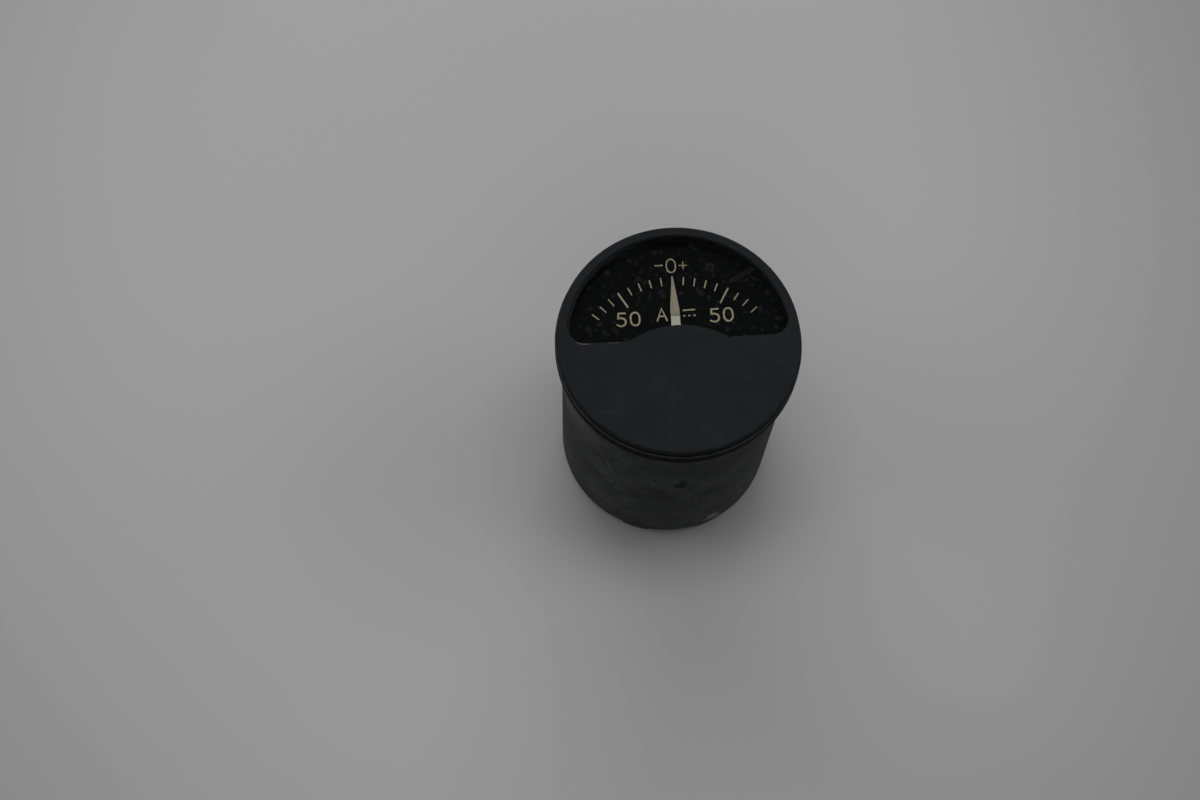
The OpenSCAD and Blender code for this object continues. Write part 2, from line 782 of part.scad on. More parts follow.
// A flat bar with round ends along X, from z0 to z1
module bar(half, w, z0, z1) {
    translate([0, 0, z0]) linear_extrude(z1 - z0) union() {
        translate([-half + w / 2, -w / 2]) square([2 * half - w, w]);
        for (side = [-1, 1]) translate([side * (half - w / 2), 0]) circle(d = w);
    }
}

module lower_bridge() {
    color("#b59a55") at_pivot() difference() {
        bar(lower_bridge_half, bridge_w, lower_bridge_z, plate_bottom);
        rod(jewel_screw_r + fit_gap, lower_bridge_z - cut, plate_bottom + cut);
        both_sides(lower_screw_x) small_hole(lower_bridge_z - cut, plate_bottom + cut);
        translate([post_x, 0, 0]) rod(post_r + fit_gap, lower_bridge_z + 0.4, plate_bottom + cut);
    }
}

module lower_bridge_screws() {
    color("#8f8b80") at_pivot() both_sides(lower_screw_x) translate([0, 0, lower_bridge_z])
        mirror([0, 0, 1]) small_screw(lower_bridge_t + tap_depth);
}

// Pin that holds the outer end of the lower hairspring
module lower_spring_post() {
    color("#b59a55") at_pivot() translate([post_x, 0, 0])
        rod(post_r, lower_bridge_z + 0.5, lower_collet_z + collet_h + 0.1);
}

// A flat spiral from the collet to a post at angle a1
module hairspring(z, a1) {
    r0 = collet_r + run_gap + spring_t / 2;
    r1 = post_x - post_r - run_gap - spring_t / 2;
    outer = spiral(r0, r1, spring_turns, a1, spring_t);
    inner = spiral(r0, r1, spring_turns, a1, -spring_t);
    last = len(inner) - 1;
    color("#c9a24a") at_pivot() translate([0, 0, z]) linear_extrude(spring_h)
        polygon(concat(outer, [for (i = [last:-1:0]) inner[i]]));
}

module lower_hairspring() {
    hairspring(lower_collet_z + (collet_h - spring_h) / 2, 0);
}

module upper_hairspring() {
    hairspring(upper_collet_z + (collet_h - spring_h) / 2, 270);
}

// Insulating pillars under the upper bridge
module bridge_pillars() {
    color("#2a1c14") at_pivot() both_sides(pillar_x)
        tube(pillar_r, small_screw_r + fit_gap, pole_top, bridge_bottom);
}

module upper_bridge() {
    color("#b59a55") at_pivot() difference() {
        union() {
            bar(bridge_half, bridge_w, bridge_bottom, bridge_top);
            rod(boss_r, boss_bottom, bridge_top);
        }
        rod(jewel_screw_r + fit_gap, boss_bottom - cut, bridge_top + cut);
        both_sides(pillar_x) small_hole(bridge_bottom - cut, bridge_top + cut);
    }
}

module upper_bridge_screws() {
    color("#8f8b80") at_pivot() both_sides(pillar_x) translate([0, 0, bridge_top])
        small_screw(bridge_top - pole_top + tap_depth);
}

// One jewel screw with its jewel pocket at z = 0, pointing down
module jewel_screw() {
    difference() {
        rod(jewel_screw_r, 0, jewel_screw_len);
        rod(jewel_r + fit_gap, -1, jewel_t);
        translate([-jewel_screw_r - cut, -slot_w / 2, jewel_screw_len - slot_depth])
            cube([2 * jewel_screw_r + 2 * cut, slot_w, slot_depth + cut]);
    }
}

// One jewel with its cup open at z = 0
module jewel() {
    difference() {
        rod(jewel_r, 0, jewel_t);
        cylinder(r1 = cup_r, r2 = tip_r, h = cup_depth);
    }
}

module jewel_screws() {
    color("#c2a55c") at_pivot() {
        translate([0, 0, upper_cup_z]) jewel_screw();
        translate([0, 0, lower_cup_z]) mirror([0, 0, 1]) jewel_screw();
    }
}

module jewels() {
    color("#b2455e") at_pivot() {
        translate([0, 0, upper_cup_z]) jewel();
        translate([0, 0, lower_cup_z]) mirror([0, 0, 1]) jewel();
    }
}

module jewel_nuts() {
    af = 2 * jewel_nut_r * cos(30);
    color("#8f8b80") at_pivot() {
        hex_nut(af, jewel_nut_t, jewel_screw_r + fit_gap, bridge_top);
        hex_nut(af, jewel_nut_t, jewel_screw_r + fit_gap, lower_bridge_z - jewel_nut_t);
    }
}

// Ring and arm that turn on the boss and hold the upper hairspring's outer end
module zero_adjuster() {
    ring_r = boss_r + 1.1;
    arm_end = post_x + 2;
    color("#b59a55") at_pivot() {
        difference() {
            union() {
                rod(ring_r, adjuster_bottom, adjuster_top);
                translate([-0.7, -arm_end, adjuster_bottom]) cube([1.4, arm_end, adjuster_t]);
                translate([0, -post_x, 0]) rod(post_r, hub_top + step_gap, adjuster_top);
            }
            rod(boss_r + run_gap, adjuster_bottom - cut, adjuster_top + cut);
            translate([-0.3, -arm_end - cut, adjuster_bottom - cut]) cube([0.6, 2, adjuster_t + 2 * cut]);
        }
    }
}

// Open ring that keeps the adjuster on the boss
module adjuster_clip() {
    color("#8f8b80") at_pivot() difference() {
        tube(boss_r + 0.6, boss_r + fit_gap, clip_bottom, clip_top);
        translate([-0.5, 0, clip_bottom - cut]) cube([1, boss_r + 2 * cut, clip_t + 2 * cut]);
    }
}

// A rectangular frame round the core: half width and half height of its hole, and its thickness
module frame(half_w, half_h, t, w) {
    difference() {
        cube([2 * (half_w + t), w, 2 * (half_h + t)], center = true);
        cube([2 * half_w, w + 2 * cut, 2 * half_h], center = true);
    }
}

// Channel-shaped former that the winding lies in
module coil_former() {
    color("#c9c9c6") at_pivot() translate([0, 0, core_mid]) difference() {
        frame(former_in, coil_in_h / 2, former_t + winding_t, coil_w);
        frame(former_out, coil_in_h / 2 + former_t, winding_t + cut, coil_w - 2 * cheek_t);
    }
}

module coil_winding() {
    color("#a5562c") at_pivot() translate([0, 0, core_mid]) frame(
        former_out + fit_gap, coil_in_h / 2 + former_t + fit_gap,
        winding_t - 2 * fit_gap, coil_w - 2 * cheek_t - 2 * fit_gap);
}

// One staff from a coil end at z = 0 up to its pivot: length to the shoulder, then to the tip
module staff(shoulder, tip) {
    rotate_extrude() polygon([
        [0, 0], [foot_disc_r, 0], [foot_disc_r, foot_disc_t], [staff_r, foot_disc_t],
        [staff_r, shoulder], [pivot_r, shoulder], [pivot_r, tip - tip_len], [tip_r, tip], [0, tip]
    ]);
}

module upper_staff() {
    color("#9b9ca0") at_pivot() translate([0, 0, coil_top])
        staff(staff_top - coil_top, upper_cup_z + cup_depth - tip_play - coil_top);
}

module lower_staff() {
    color("#9b9ca0") at_pivot() translate([0, 0, coil_bottom]) mirror([0, 0, 1])
        staff(coil_bottom - staff_bottom, coil_bottom - lower_cup_z + cup_depth - tip_play);
}

module spring_collets() {
    color("#b59a55") at_pivot() for (z = [upper_collet_z, lower_collet_z])
        tube(collet_r, staff_r + fit_gap, z, z + collet_h);
}

// Hub, cranked blade, tail and two side arms
module pointer() {
    wide = pointer_w / 2;
    tip = tip_w / 2;
    color("#d2cbb0") at_pivot() difference() {
        union() {
            rod(hub_r, hub_bottom, hub_top);
            intersection() {
                translate([-wide, 0, 0]) rotate([90, 0, 90]) linear_extrude(2 * wide) polygon([
                    [0, hub_bottom], [crank_in + 0.2, hub_bottom], [crank_out + 0.2, blade_z],
                    [pointer_len, blade_z], [pointer_len, blade_z + pointer_t],
                    [crank_out, blade_z + pointer_t], [crank_in, hub_top], [0, hub_top]
                ]);
                translate([0, 0, hub_bottom - cut]) linear_extrude(blade_z - hub_bottom + 3) polygon([
                    [-wide, 0], [wide, 0], [wide, pointer_len - taper_len],
                    [tip, pointer_len], [-tip, pointer_len], [-wide, pointer_len - taper_len]
                ]);
            }
            for (a = [[180, tail_len], [90, side_arm_len], [-90, side_arm_len]]) rotate([0, 0, a[0]])
                translate([0, hub_r - cut, (hub_bottom + hub_top) / 2]) rotate([-90, 0, 0])
                    cylinder(r = arm_r, h = a[1] - hub_r + cut);
        }
        rod(staff_r + fit_gap, hub_bottom - cut, hub_top + cut);
    }
}

// Weights on the tail and on the side arms
module balance_weights() {
    color("#8f8b80") at_pivot() for (a = [[180, tail_len], [90, side_arm_len], [-90, side_arm_len]])
        rotate([0, 0, a[0]]) translate([0, a[1] - weight_len - weight_at_end, (hub_bottom + hub_top) / 2])
            rotate([-90, 0, 0]) difference() {
                cylinder(r = weight_r, h = weight_len);
                translate([0, 0, -cut]) cylinder(r = arm_r + fit_gap, h = weight_len + 2 * cut);
            }
}

// Studs with a groove between the nuts and the free end
module terminal_studs() {
    groove_r = stud_r - groove_depth;
    color("#b59a55") both_sides(stud_x) rotate_extrude() polygon([
        [0, stud_end], [stud_r - chamfer, stud_end], [stud_r, stud_end + chamfer],
        [stud_r, outer_nut_z - groove_w], [groove_r, outer_nut_z - groove_w],
        [groove_r, outer_nut_z], [stud_r, outer_nut_z], [stud_r, block_top], [0, block_top]
    ]);
}

module stud_washers() {
    color("#a9a294") both_sides(stud_x) tube(washer_r, stud_r + run_gap, washer_z, floor_bottom);
}

module clamp_nuts() {
    color("#b59a55") both_sides(stud_x) hex_nut(nut_af, nut_t, stud_r + fit_gap, clamp_nut_z);
}

// Split spring washers
module lock_washers() {
    color("#77736c") both_sides(stud_x) difference() {
        tube(washer_r - 0.6, stud_r + run_gap, lock_z, clamp_nut_z);
        translate([0, -0.4, lock_z - cut]) cube([washer_r + cut, 0.8, lock_t + 2 * cut]);
    }
}

module terminal_nuts() {
    color("#b59a55") both_sides(stud_x) hex_nut(nut_af, nut_t, stud_r + fit_gap, outer_nut_z);
}

// Middle of each shunt strip along Y
strip_ys = [for (i = [0:strips - 1]) (i - (strips - 1) / 2) * strip_pitch];
strip_z = floor_top + (block_h - strip_h) / 2;

module shunt_blocks() {
    color("#b59a55") for (side = [-1, 1]) difference() {
        translate([side * stud_x - block_w / 2, -block_len / 2, floor_top])
            cube([block_w, block_len, block_h]);
        translate([side * stud_x, 0, 0]) rod(stud_r + fit_gap, floor_top - cut, block_top + cut);
        translate([side * sense_x, sense_y, 0]) small_hole(block_top - tap_depth - seat_gap, block_top + cut);
        for (y = strip_ys) translate([side * (stud_x - block_w / 2), y, strip_z + strip_h / 2])
            cube([2 * strip_in, strip_t + 2 * fit_gap, strip_h + 2 * fit_gap], center = true);
    }
}

// Resistance strips that carry the current from block to block
module shunt_strips() {
    half = stud_x - block_w / 2 + strip_in - fit_gap;
    color("#b87d5b") for (y = strip_ys) translate([-half, y - strip_t / 2, strip_z])
        cube([2 * half, strip_t, strip_h]);
}

module sense_tags() {
    color("#a9a294") both_sides(sense_x, sense_y) difference() {
        union() {
            rod(tag_r, block_top, tag_top);
            translate([-tag_w / 2, 0, block_top]) cube([tag_w, tag_end_y - sense_y, tag_t]);
        }
        small_hole(block_top - cut, tag_top + cut);
    }
}

module sense_screws() {
    color("#8f8b80") both_sides(sense_x, sense_y) translate([0, 0, tag_top])
        small_screw(tag_t + tap_depth);
}

module resistor_spool() {
    color("#2a1c14") translate([0, spool_y, 0]) difference() {
        union() {
            rod(spool_core_r, spool_z, plate_bottom);
            rod(spool_r, spool_z, spool_z + spool_flange_t);
            rod(spool_r, plate_bottom - spool_flange_t, plate_bottom);
        }
        small_hole(spool_z - cut, plate_bottom + cut);
    }
}

module resistor_winding() {
    color("#8a5a2b") translate([0, spool_y, 0]) tube(winding_r, spool_core_r + fit_gap,
        spool_z + spool_flange_t + fit_gap, plate_bottom - spool_flange_t - fit_gap);
}

module resistor_screw() {
    color("#8f8b80") translate([0, spool_y, spool_z]) mirror([0, 0, 1])
        small_screw(spool_len + tap_depth);
}

// Height of the winding's two ends
winding_low = spool_z + spool_flange_t + wire_r + 0.2;
winding_high = plate_bottom - spool_flange_t - wire_r - 0.2;

// From the right shunt block to the resistor
module lead_positive() {
    tag_y = tag_end_y - lead_inset;
    on_tag = tag_top + wire_r + fit_gap / 2;
    color("#7c2a22") wire([
        [sense_x, tag_y, on_tag], [sense_x - lead_bend, tag_y, on_tag],
        [(sense_x + spool_r) / 2, spool_y, (on_tag + winding_low) / 2],
        [spool_r + lead_bend, spool_y, winding_low], [winding_r + run_gap, spool_y, winding_low]
    ], wire_r);
}

// From the left shunt block, past the sense screw, to the lower bridge
module lead_negative() {
    tag_y = tag_end_y - lead_inset;
    past_x = -sense_x - small_head_r - wire_r - seat_gap;
    end_x = lead_inset - lower_bridge_half;
    rise = lower_bridge_z - tag_top;
    color("#22282c") wire([
        [-sense_x, tag_y, tag_top], [-sense_x, tag_y, tag_top + rise * 0.3],
        [(past_x - sense_x) / 2, tag_y - lead_bend, tag_top + rise * 0.45],
        [past_x, sense_y + lead_bend, tag_top + rise * 0.5], [past_x, 0, tag_top + rise * 0.55],
        [end_x - step_gap, pivot_y + 2 * lead_bend, tag_top + rise * 0.6],
        [end_x, pivot_y + lead_bend / 2, tag_top + rise * 0.7],
        [end_x, pivot_y, tag_top + rise * 0.85], [end_x, pivot_y, lower_bridge_z]
    ], wire_r);
}

// From the resistor, up through the plate, to the upper bridge
module lead_upper() {
    end_x = bridge_half - lead_inset;
    hx = lead_hole[0];
    hy = lead_hole[1];
    clamp_end = pivot_y + clamp_y + clamp_w;
    over_clamp = pole_top + clamp_t + lead_bend;
    drop = bridge_bottom - over_clamp;
    color("#7c2a22") wire([
        [winding_r + run_gap, spool_y, winding_high], [spool_r + lead_bend, spool_y, winding_high],
        [hx - 2 * lead_bend, spool_y, winding_high],
        [hx - lead_bend / 3, hy, plate_bottom - lead_bend * 0.75],
        [hx, hy, plate_bottom + lead_bend / 2], [hx, hy, plate_top + lead_bend / 2],
        [hx, hy - lead_bend / 3, core_mid], [hx - 0.2, clamp_end + 2 * lead_bend, pole_top - 0.5],
        [hx - 0.5, clamp_end + lead_bend / 2, over_clamp],
        [hx - 0.9, pivot_y + clamp_y, over_clamp + drop * 0.15],
        [end_x + 0.8, pivot_y + 4, over_clamp + drop * 0.4],
        [end_x + 0.2, pivot_y + 1.6, over_clamp + drop * 0.55],
        [end_x, pivot_y + 0.2, over_clamp + drop * 0.75], [end_x, pivot_y, over_clamp + drop * 0.9],
        [end_x, pivot_y, bridge_bottom]
    ], wire_r);
}

case();
retaining_ring();
front_mask();
window_glass();
glass_gasket();
rear_base();
case_screws();
base_screws();
spacer_posts();
movement_plate();
dial_plate();
scale_marks();
dial_posts();
dial_screws();
pointer_stops();
magnet();
magnet_clamp();
clamp_screws();
pole_piece_left();
pole_piece_right();
frame_screws();
core();
core_bracket();
core_screw();
lower_bridge();
lower_bridge_screws();
lower_spring_post();
lower_hairspring();
bridge_pillars();
upper_bridge();
upper_bridge_screws();
jewel_screws();
jewel_nuts();
jewels();
zero_adjuster();
adjuster_clip();
upper_hairspring();
coil_former();
coil_winding();
upper_staff();
lower_staff();
spring_collets();
pointer();
balance_weights();
terminal_studs();
stud_washers();
clamp_nuts();
lock_washers();
terminal_nuts();
shunt_blocks();
shunt_strips();
sense_screws();
sense_tags();
resistor_spool();
resistor_winding();
resistor_screw();
lead_positive();
lead_negative();
lead_upper();
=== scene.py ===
# The looks of a round clamp-mounted ammeter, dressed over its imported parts.
# Meshes are written in millimetres and turned to metres as they are made.
import json
import math

import bmesh
import bpy
from mathutils import Matrix, Vector


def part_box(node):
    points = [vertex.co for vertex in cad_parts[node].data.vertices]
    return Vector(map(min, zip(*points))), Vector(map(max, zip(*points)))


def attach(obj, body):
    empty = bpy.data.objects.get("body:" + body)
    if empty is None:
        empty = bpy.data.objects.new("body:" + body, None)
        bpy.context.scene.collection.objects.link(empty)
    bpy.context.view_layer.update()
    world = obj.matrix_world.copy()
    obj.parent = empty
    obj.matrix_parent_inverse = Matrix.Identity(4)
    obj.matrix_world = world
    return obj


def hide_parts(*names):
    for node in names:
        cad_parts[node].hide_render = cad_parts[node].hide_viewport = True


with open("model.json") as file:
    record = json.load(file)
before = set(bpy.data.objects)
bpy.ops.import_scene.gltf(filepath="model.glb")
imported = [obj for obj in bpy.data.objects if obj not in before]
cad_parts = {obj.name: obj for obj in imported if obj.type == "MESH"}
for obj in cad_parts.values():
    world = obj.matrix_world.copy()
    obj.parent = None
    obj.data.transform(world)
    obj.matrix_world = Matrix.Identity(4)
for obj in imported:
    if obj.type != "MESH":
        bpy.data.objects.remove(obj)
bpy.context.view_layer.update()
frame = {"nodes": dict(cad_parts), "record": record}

MM = 0.001

# Sizes that the frame's boxes don't give, in millimetres
MASK_WALL = 0.8
MASK_CHAMFER = 0.06
EDGE_ROUND = 0.35
EDGE_BREAK = 0.13
WINDOW_R = 23.8
CHORD_ABOVE_PIVOT = 7.3
CORNER_R = 3.7
HUMP_R = 18.8
HUMP_BELOW_PIVOT = 8.3
BLEND_LEFT = 6.0
BLEND_RIGHT = 1.0
NICK_X = 10.7
NICK_SIZE = 0.28
EDGE_LEAN = 0.5
RING_IN = 25.8
LIP_IN = 24.8
RING_LIP = 0.76
CASE_R = 24.7
STUD_R = 3.0
GROOVE_R = 2.6
GROOVE_WIDE = 0.4
THREAD_PITCH = 1.0
THREAD_DEPTH = 0.28
NUT_AF = 10.0
NUT_PLAY = 0.03
WASHER_PLAY = 0.05
WASHER_PAST_NUT = 0.4
PAINT = 0.05
MARKS_EACH_SIDE = 8
MAJOR_MARK = 5
MARK_STEP = 6.0
MARK_OUTER = 24.0
MAJOR_LENGTH = 4.1
MAJOR_WIDTH = 0.37
MINOR_LENGTH = 2.0
MINOR_WIDTH = 0.27
THINNER_AT_RIGHT = 0.12
FIGURE_STROKE = 0.38
FIGURE_LOW = 5.14

# A support ring this close to an edge keeps the flat beside it evenly shaded
HOLD = 0.04


# Sizes taken from the frame, in millimetres
def low(name):
    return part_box(name)[0] / MM


def high(name):
    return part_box(name)[1] / MM


face_z = high("front_mask").z
mask_r = high("front_mask").x
mask_bottom = low("front_mask").z
glass_r = high("window_glass").x
glass_low = low("window_glass").z
glass_top = high("window_glass").z
ring_r = high("retaining_ring").x
ring_low = low("retaining_ring").z
ring_top = high("retaining_ring").z
rim_z = low("case").z
hole_up = (low("case_screws").z + high("case_screws").z) / 2 - rim_z
dial_top = high("dial_plate").z
stud_low = low("terminal_studs").z
stud_top = high("terminal_studs").z
stud_x = (high("terminal_studs").x - low("terminal_studs").x) / 2 - STUD_R
groove_top = low("terminal_nuts").z
groove_low = groove_top - GROOVE_WIDE
thread_top = low("stud_washers").z + 0.5
pivot_y = (high("coil_winding").y + low("coil_winding").y) / 2
chord_y = pivot_y + CHORD_ABOVE_PIVOT
corner_x = math.sqrt((WINDOW_R - CORNER_R) ** 2 - (chord_y + CORNER_R) ** 2)
hump_y = pivot_y - HUMP_BELOW_PIVOT


# Points and outlines
def between(p, q, share):
    """The point that lies a share of the way from p to q."""
    return p[0] + (q[0] - p[0]) * share, p[1] + (q[1] - p[1]) * share


def heading(p, q):
    """The direction from p to q, one unit long."""
    return Vector((q[0] - p[0], q[1] - p[1])).normalized()


def arc(centre, r, a0, a1, n):
    """Points on an arc from a0 to a1 degrees, in n steps."""
    points = []
    for i in range(n + 1):
        a = math.radians(a0 + (a1 - a0) * i / n)
        points.append((centre[0] + r * math.cos(a), centre[1] + r * math.sin(a)))
    return points


def filleted(corners, steps=5):
    """A closed outline of (r, z, radius) corners with each corner rounded."""
    out = []
    for i, (x, y, r) in enumerate(corners):
        if r <= 0:
            out.append((x, y))
            continue
        p = Vector((x, y))
        a = (Vector(corners[i - 1][:2]) - p).normalized()
        b = (Vector(corners[(i + 1) % len(corners)][:2]) - p).normalized()
        half = a.angle(b) / 2
        reach = r / math.tan(half)
        centre = p + (a + b).normalized() * (r / math.sin(half))
        start = p + a * reach - centre
        end = p + b * reach - centre
        turn = start.angle_signed(end)
        for k in range(steps + 1):
            v = start.copy()
            v.rotate(Matrix.Rotation(-turn * k / steps, 2))
            out.append(tuple(centre + v))
    return out


def held(profile, closed=True):
    """The same profile with a point close to each end of every long side."""
    out = []
    for i, p in enumerate(profile):
        out.append(p)
        if i == len(profile) - 1 and not closed:
            break
        q = profile[(i + 1) % len(profile)]
        gap = math.dist(p, q)
        if gap > 6 * HOLD:
            out.append(between(p, q, HOLD / gap))
            out.append(between(p, q, 1 - HOLD / gap))
    return out


def resampled(points, step):
    """A closed outline with points about one step apart, its own points kept."""
    out = []
    for p, q in zip(points, points[1:] + points[:1]):
        cuts = max(1, round(math.dist(p, q) / step))
        out += [between(p, q, k / cuts) for k in range(cuts)]
    return out


def offset_outline(points, by):
    """A closed outline moved outwards; the points run anticlockwise."""
    out = []
    for i, (x, y) in enumerate(points):
        along = heading(points[i - 1], points[(i + 1) % len(points)])
        out.append((x + along.y * by, y - along.x * by))
    return out


# Meshes as lists of points and faces
def level(points, z):
    """Flat points lifted to one height."""
    return [(x, y, z) for x, y in points]


def loft(rings, closed=True):
    """A skin over rings of points; a ring of one point closes an end."""
    verts, numbers, faces = [], [], []
    for ring in rings:
        numbers.append(range(len(verts), len(verts) + len(ring)))
        verts.extend(ring)
    following = numbers[1:] + numbers[:1] if closed else numbers[1:]
    for a, b in zip(numbers, following):
        n = max(len(a), len(b))
        for i in range(n):
            k = (i + 1) % n
            if len(a) == 1:
                faces.append((a[0], b[i], b[k]))
            elif len(b) == 1:
                faces.append((a[i], a[k], b[0]))
            else:
                faces.append((a[i], a[k], b[k], b[i]))
    return verts, faces


def lathe(profile, segments, x=0.0, closed=True, radius_of=None):
    """A profile of (r, z) points turned about a vertical axis at x."""
    rings = []
    for r, z in profile:
        ring = []
        for i in range(segments if r > 0 else 1):
            a = 2 * math.pi * i / segments
            here = radius_of(a, r, z) if radius_of else r
            ring.append((x + here * math.cos(a), here * math.sin(a), z))
        rings.append(ring)
    return loft(rings, closed)


def joined(parts):
    """Several meshes as one."""
    verts, faces = [], []
    for part_verts, part_faces in parts:
        base = len(verts)
        verts.extend(part_verts)
        faces.extend(tuple(base + i for i in face) for face in part_faces)
    return verts, faces


def mesh_object(name, verts, faces, sharp=32.0):
    """An object from millimetre points, smooth but for edges sharper than the given degrees."""
    mesh = bpy.data.meshes.new(name)
    mesh.from_pydata([Vector(v) * MM for v in verts], [], faces)
    bm = bmesh.new()
    bm.from_mesh(mesh)
    bmesh.ops.remove_doubles(bm, verts=bm.verts, dist=1e-8)
    bmesh.ops.recalc_face_normals(bm, faces=bm.faces)
    for face in bm.faces:
        face.smooth = True
    for edge in bm.edges:
        edge.smooth = len(edge.link_faces) == 2 and edge.calc_face_angle(0.0) < math.radians(sharp)
    bm.to_mesh(mesh)
    bm.free()
    obj = bpy.data.objects.new(name, mesh)
    bpy.context.scene.collection.objects.link(obj)
    return obj


# The front, its ring and the glass
def window_outline():
    """The window: an arc, two round corners and a hump in the lower edge."""
    corner_y = chord_y + CORNER_R
    corner_a = math.degrees(math.atan2(corner_y, corner_x))
    left_y = chord_y + BLEND_LEFT - hump_y
    right_y = chord_y + BLEND_RIGHT - hump_y
    left_x = math.sqrt((HUMP_R + BLEND_LEFT) ** 2 - left_y**2)
    right_x = math.sqrt((HUMP_R + BLEND_RIGHT) ** 2 - right_y**2)
    left_a = math.degrees(math.atan2(left_y, -left_x))
    right_a = math.degrees(math.atan2(right_y, right_x))
    points = arc((0, 0), WINDOW_R, corner_a, 180 - corner_a, 200)
    points += arc((-corner_x, corner_y), CORNER_R, 180 - corner_a, 270, 28)[1:]
    points += arc((-left_x, chord_y + BLEND_LEFT), BLEND_LEFT, 270, left_a + 180, 24)
    points += arc((0, hump_y), HUMP_R, left_a, right_a, 90)[1:]
    points += arc((right_x, chord_y + BLEND_RIGHT), BLEND_RIGHT, right_a + 180, 270, 8)[1:]
    points += arc((corner_x, corner_y), CORNER_R, -90, corner_a, 28)[:-1]
    return resampled(points, 0.4)


def hand_cut(points):
    """A slight unevenness and the small nick beside the right end of the hump."""
    out = []
    for x, y in points:
        wave = 0.03 * math.sin(1.9 * x + 0.7 * y) + 0.02 * math.sin(4.3 * x - 2.9 * y + 1.0)
        nick = NICK_SIZE * math.exp(-(((x - NICK_X) / NICK_SIZE) ** 2)) if y < chord_y + 1.2 else 0.0
        if y < chord_y + 4.5 and abs(x) < 19:
            out.append((x, y + wave - nick))
        else:
            inwards = 1 - 0.3 * wave / math.hypot(x, y)
            out.append((x * inwards, y * inwards))
    return out


def front_mesh():
    """Cup-shaped front: the window's edge is broken and the rim is rounded."""
    edge = hand_cut(window_outline())
    heart_y = 10.0
    rays = [heading((0.0, heart_y), p) for p in edge]

    def on_circle(r, z):
        """Where rays from the window's heart through its edge meet a circle."""
        ring = []
        for ray in rays:
            reach = math.sqrt(r * r - (heart_y * ray.x) ** 2) - heart_y * ray.y
            ring.append((ray.x * reach, heart_y + ray.y * reach, z))
        return ring

    def leaning(z):
        """The foot of the cut, which leans inwards at the left."""
        ring = []
        for (x, y), ray in zip(edge, rays):
            by = EDGE_LEAN * min(1.0, max(0.0, (-x - 5.0) / 9.0))
            ring.append((x - ray.x * by, y - ray.y * by, z))
        return ring

    rings = [leaning(glass_top)]
    for k in range(4):
        a = math.pi / 2 * k / 3
        broken = offset_outline(edge, EDGE_BREAK * (1 - math.cos(a)))
        rings.append(level(broken, face_z - EDGE_BREAK * (1 - math.sin(a))))
    inner = level(offset_outline(edge, EDGE_BREAK + HOLD), face_z)
    outer = on_circle(mask_r - EDGE_ROUND - HOLD, face_z)
    for share in (0.0, 0.3, 0.65, 1.0):
        rings.append(level([between(p, q, share) for p, q in zip(inner, outer)], face_z))
    for k in range(7):
        a = math.pi / 2 * k / 6
        r = mask_r - EDGE_ROUND * (1 - math.sin(a))
        rings.append(on_circle(r, face_z - EDGE_ROUND * (1 - math.cos(a))))
    foot = mask_bottom + MASK_CHAMFER
    for z in (face_z - EDGE_ROUND - HOLD, face_z - 1.2, foot + HOLD, foot):
        rings.append(on_circle(mask_r, z))
    rings.append(on_circle(mask_r - MASK_CHAMFER, mask_bottom))
    rings.append(on_circle(mask_r - MASK_WALL, mask_bottom))
    rings.append(on_circle(mask_r - MASK_WALL, glass_top))
    return loft(rings)


def ring_mesh():
    """The spun ring: a rounded outside, a step for the mask and a lip behind the case's flange."""
    lip_top = ring_low + RING_LIP
    profile = filleted([
        (RING_IN, ring_top, 0.05), (ring_r, ring_top, 0.12), (ring_r, ring_low, 0.18),
        (LIP_IN, ring_low, 0.05), (LIP_IN, lip_top, 0), (RING_IN, lip_top, 0),
    ])
    return lathe(held(profile), 256)


def glass_mesh():
    """A flat disc with its edges just broken."""
    profile = filleted([
        (0, glass_low, 0), (glass_r, glass_low, 0.08), (glass_r, glass_top, 0.08), (0, glass_top, 0),
    ], 3)
    return lathe(held(profile, False), 160, closed=False)


# Turned and hexagonal fittings at the rear
def stud_mesh(x, first_turn):
    """A stud with a screw thread, a groove and a domed end."""

    def threaded(z, end):
        """Rows close enough together to carry the thread."""
        rows = []
        while z < end:
            rows.append((STUD_R, z))
            z += THREAD_PITCH / 8
        return rows

    def radius(a, r, z):
        """The thread's teeth, shallow at the stud's end, on rows at the full radius."""
        in_groove = groove_low - 0.01 < z < groove_top + 0.01
        if r < STUD_R or in_groove or not stud_low + 0.2 < z < thread_top + 0.1:
            return r
        phase = (z / THREAD_PITCH - a / (2 * math.pi) + first_turn) % 1.0
        tooth = min(1.0, max(0.0, (abs(2 * phase - 1) - 0.12) / 0.72))
        fade = min(1.0, (z - stud_low - 0.2) / 0.6)
        return r - THREAD_DEPTH * (1 - tooth) * (0.35 + 0.65 * fade)

    rows = [(0, stud_low), (STUD_R - 1.0, stud_low), (STUD_R - 0.45, stud_low + 0.12)]
    rows += threaded(stud_low + 0.35, groove_low - 0.15)
    rows += [(STUD_R, groove_low - 0.15), (STUD_R, groove_low)]
    rows += [(GROOVE_R, groove_low + 0.05), (GROOVE_R, groove_top - 0.05), (STUD_R, groove_top)]
    rows += threaded(groove_top + 0.15, thread_top)
    rows += [(STUD_R, thread_top + 0.2), (STUD_R, stud_top - 0.1), (STUD_R - 0.1, stud_top), (0, stud_top)]
    return lathe(rows, 72, x, closed=False, radius_of=radius)


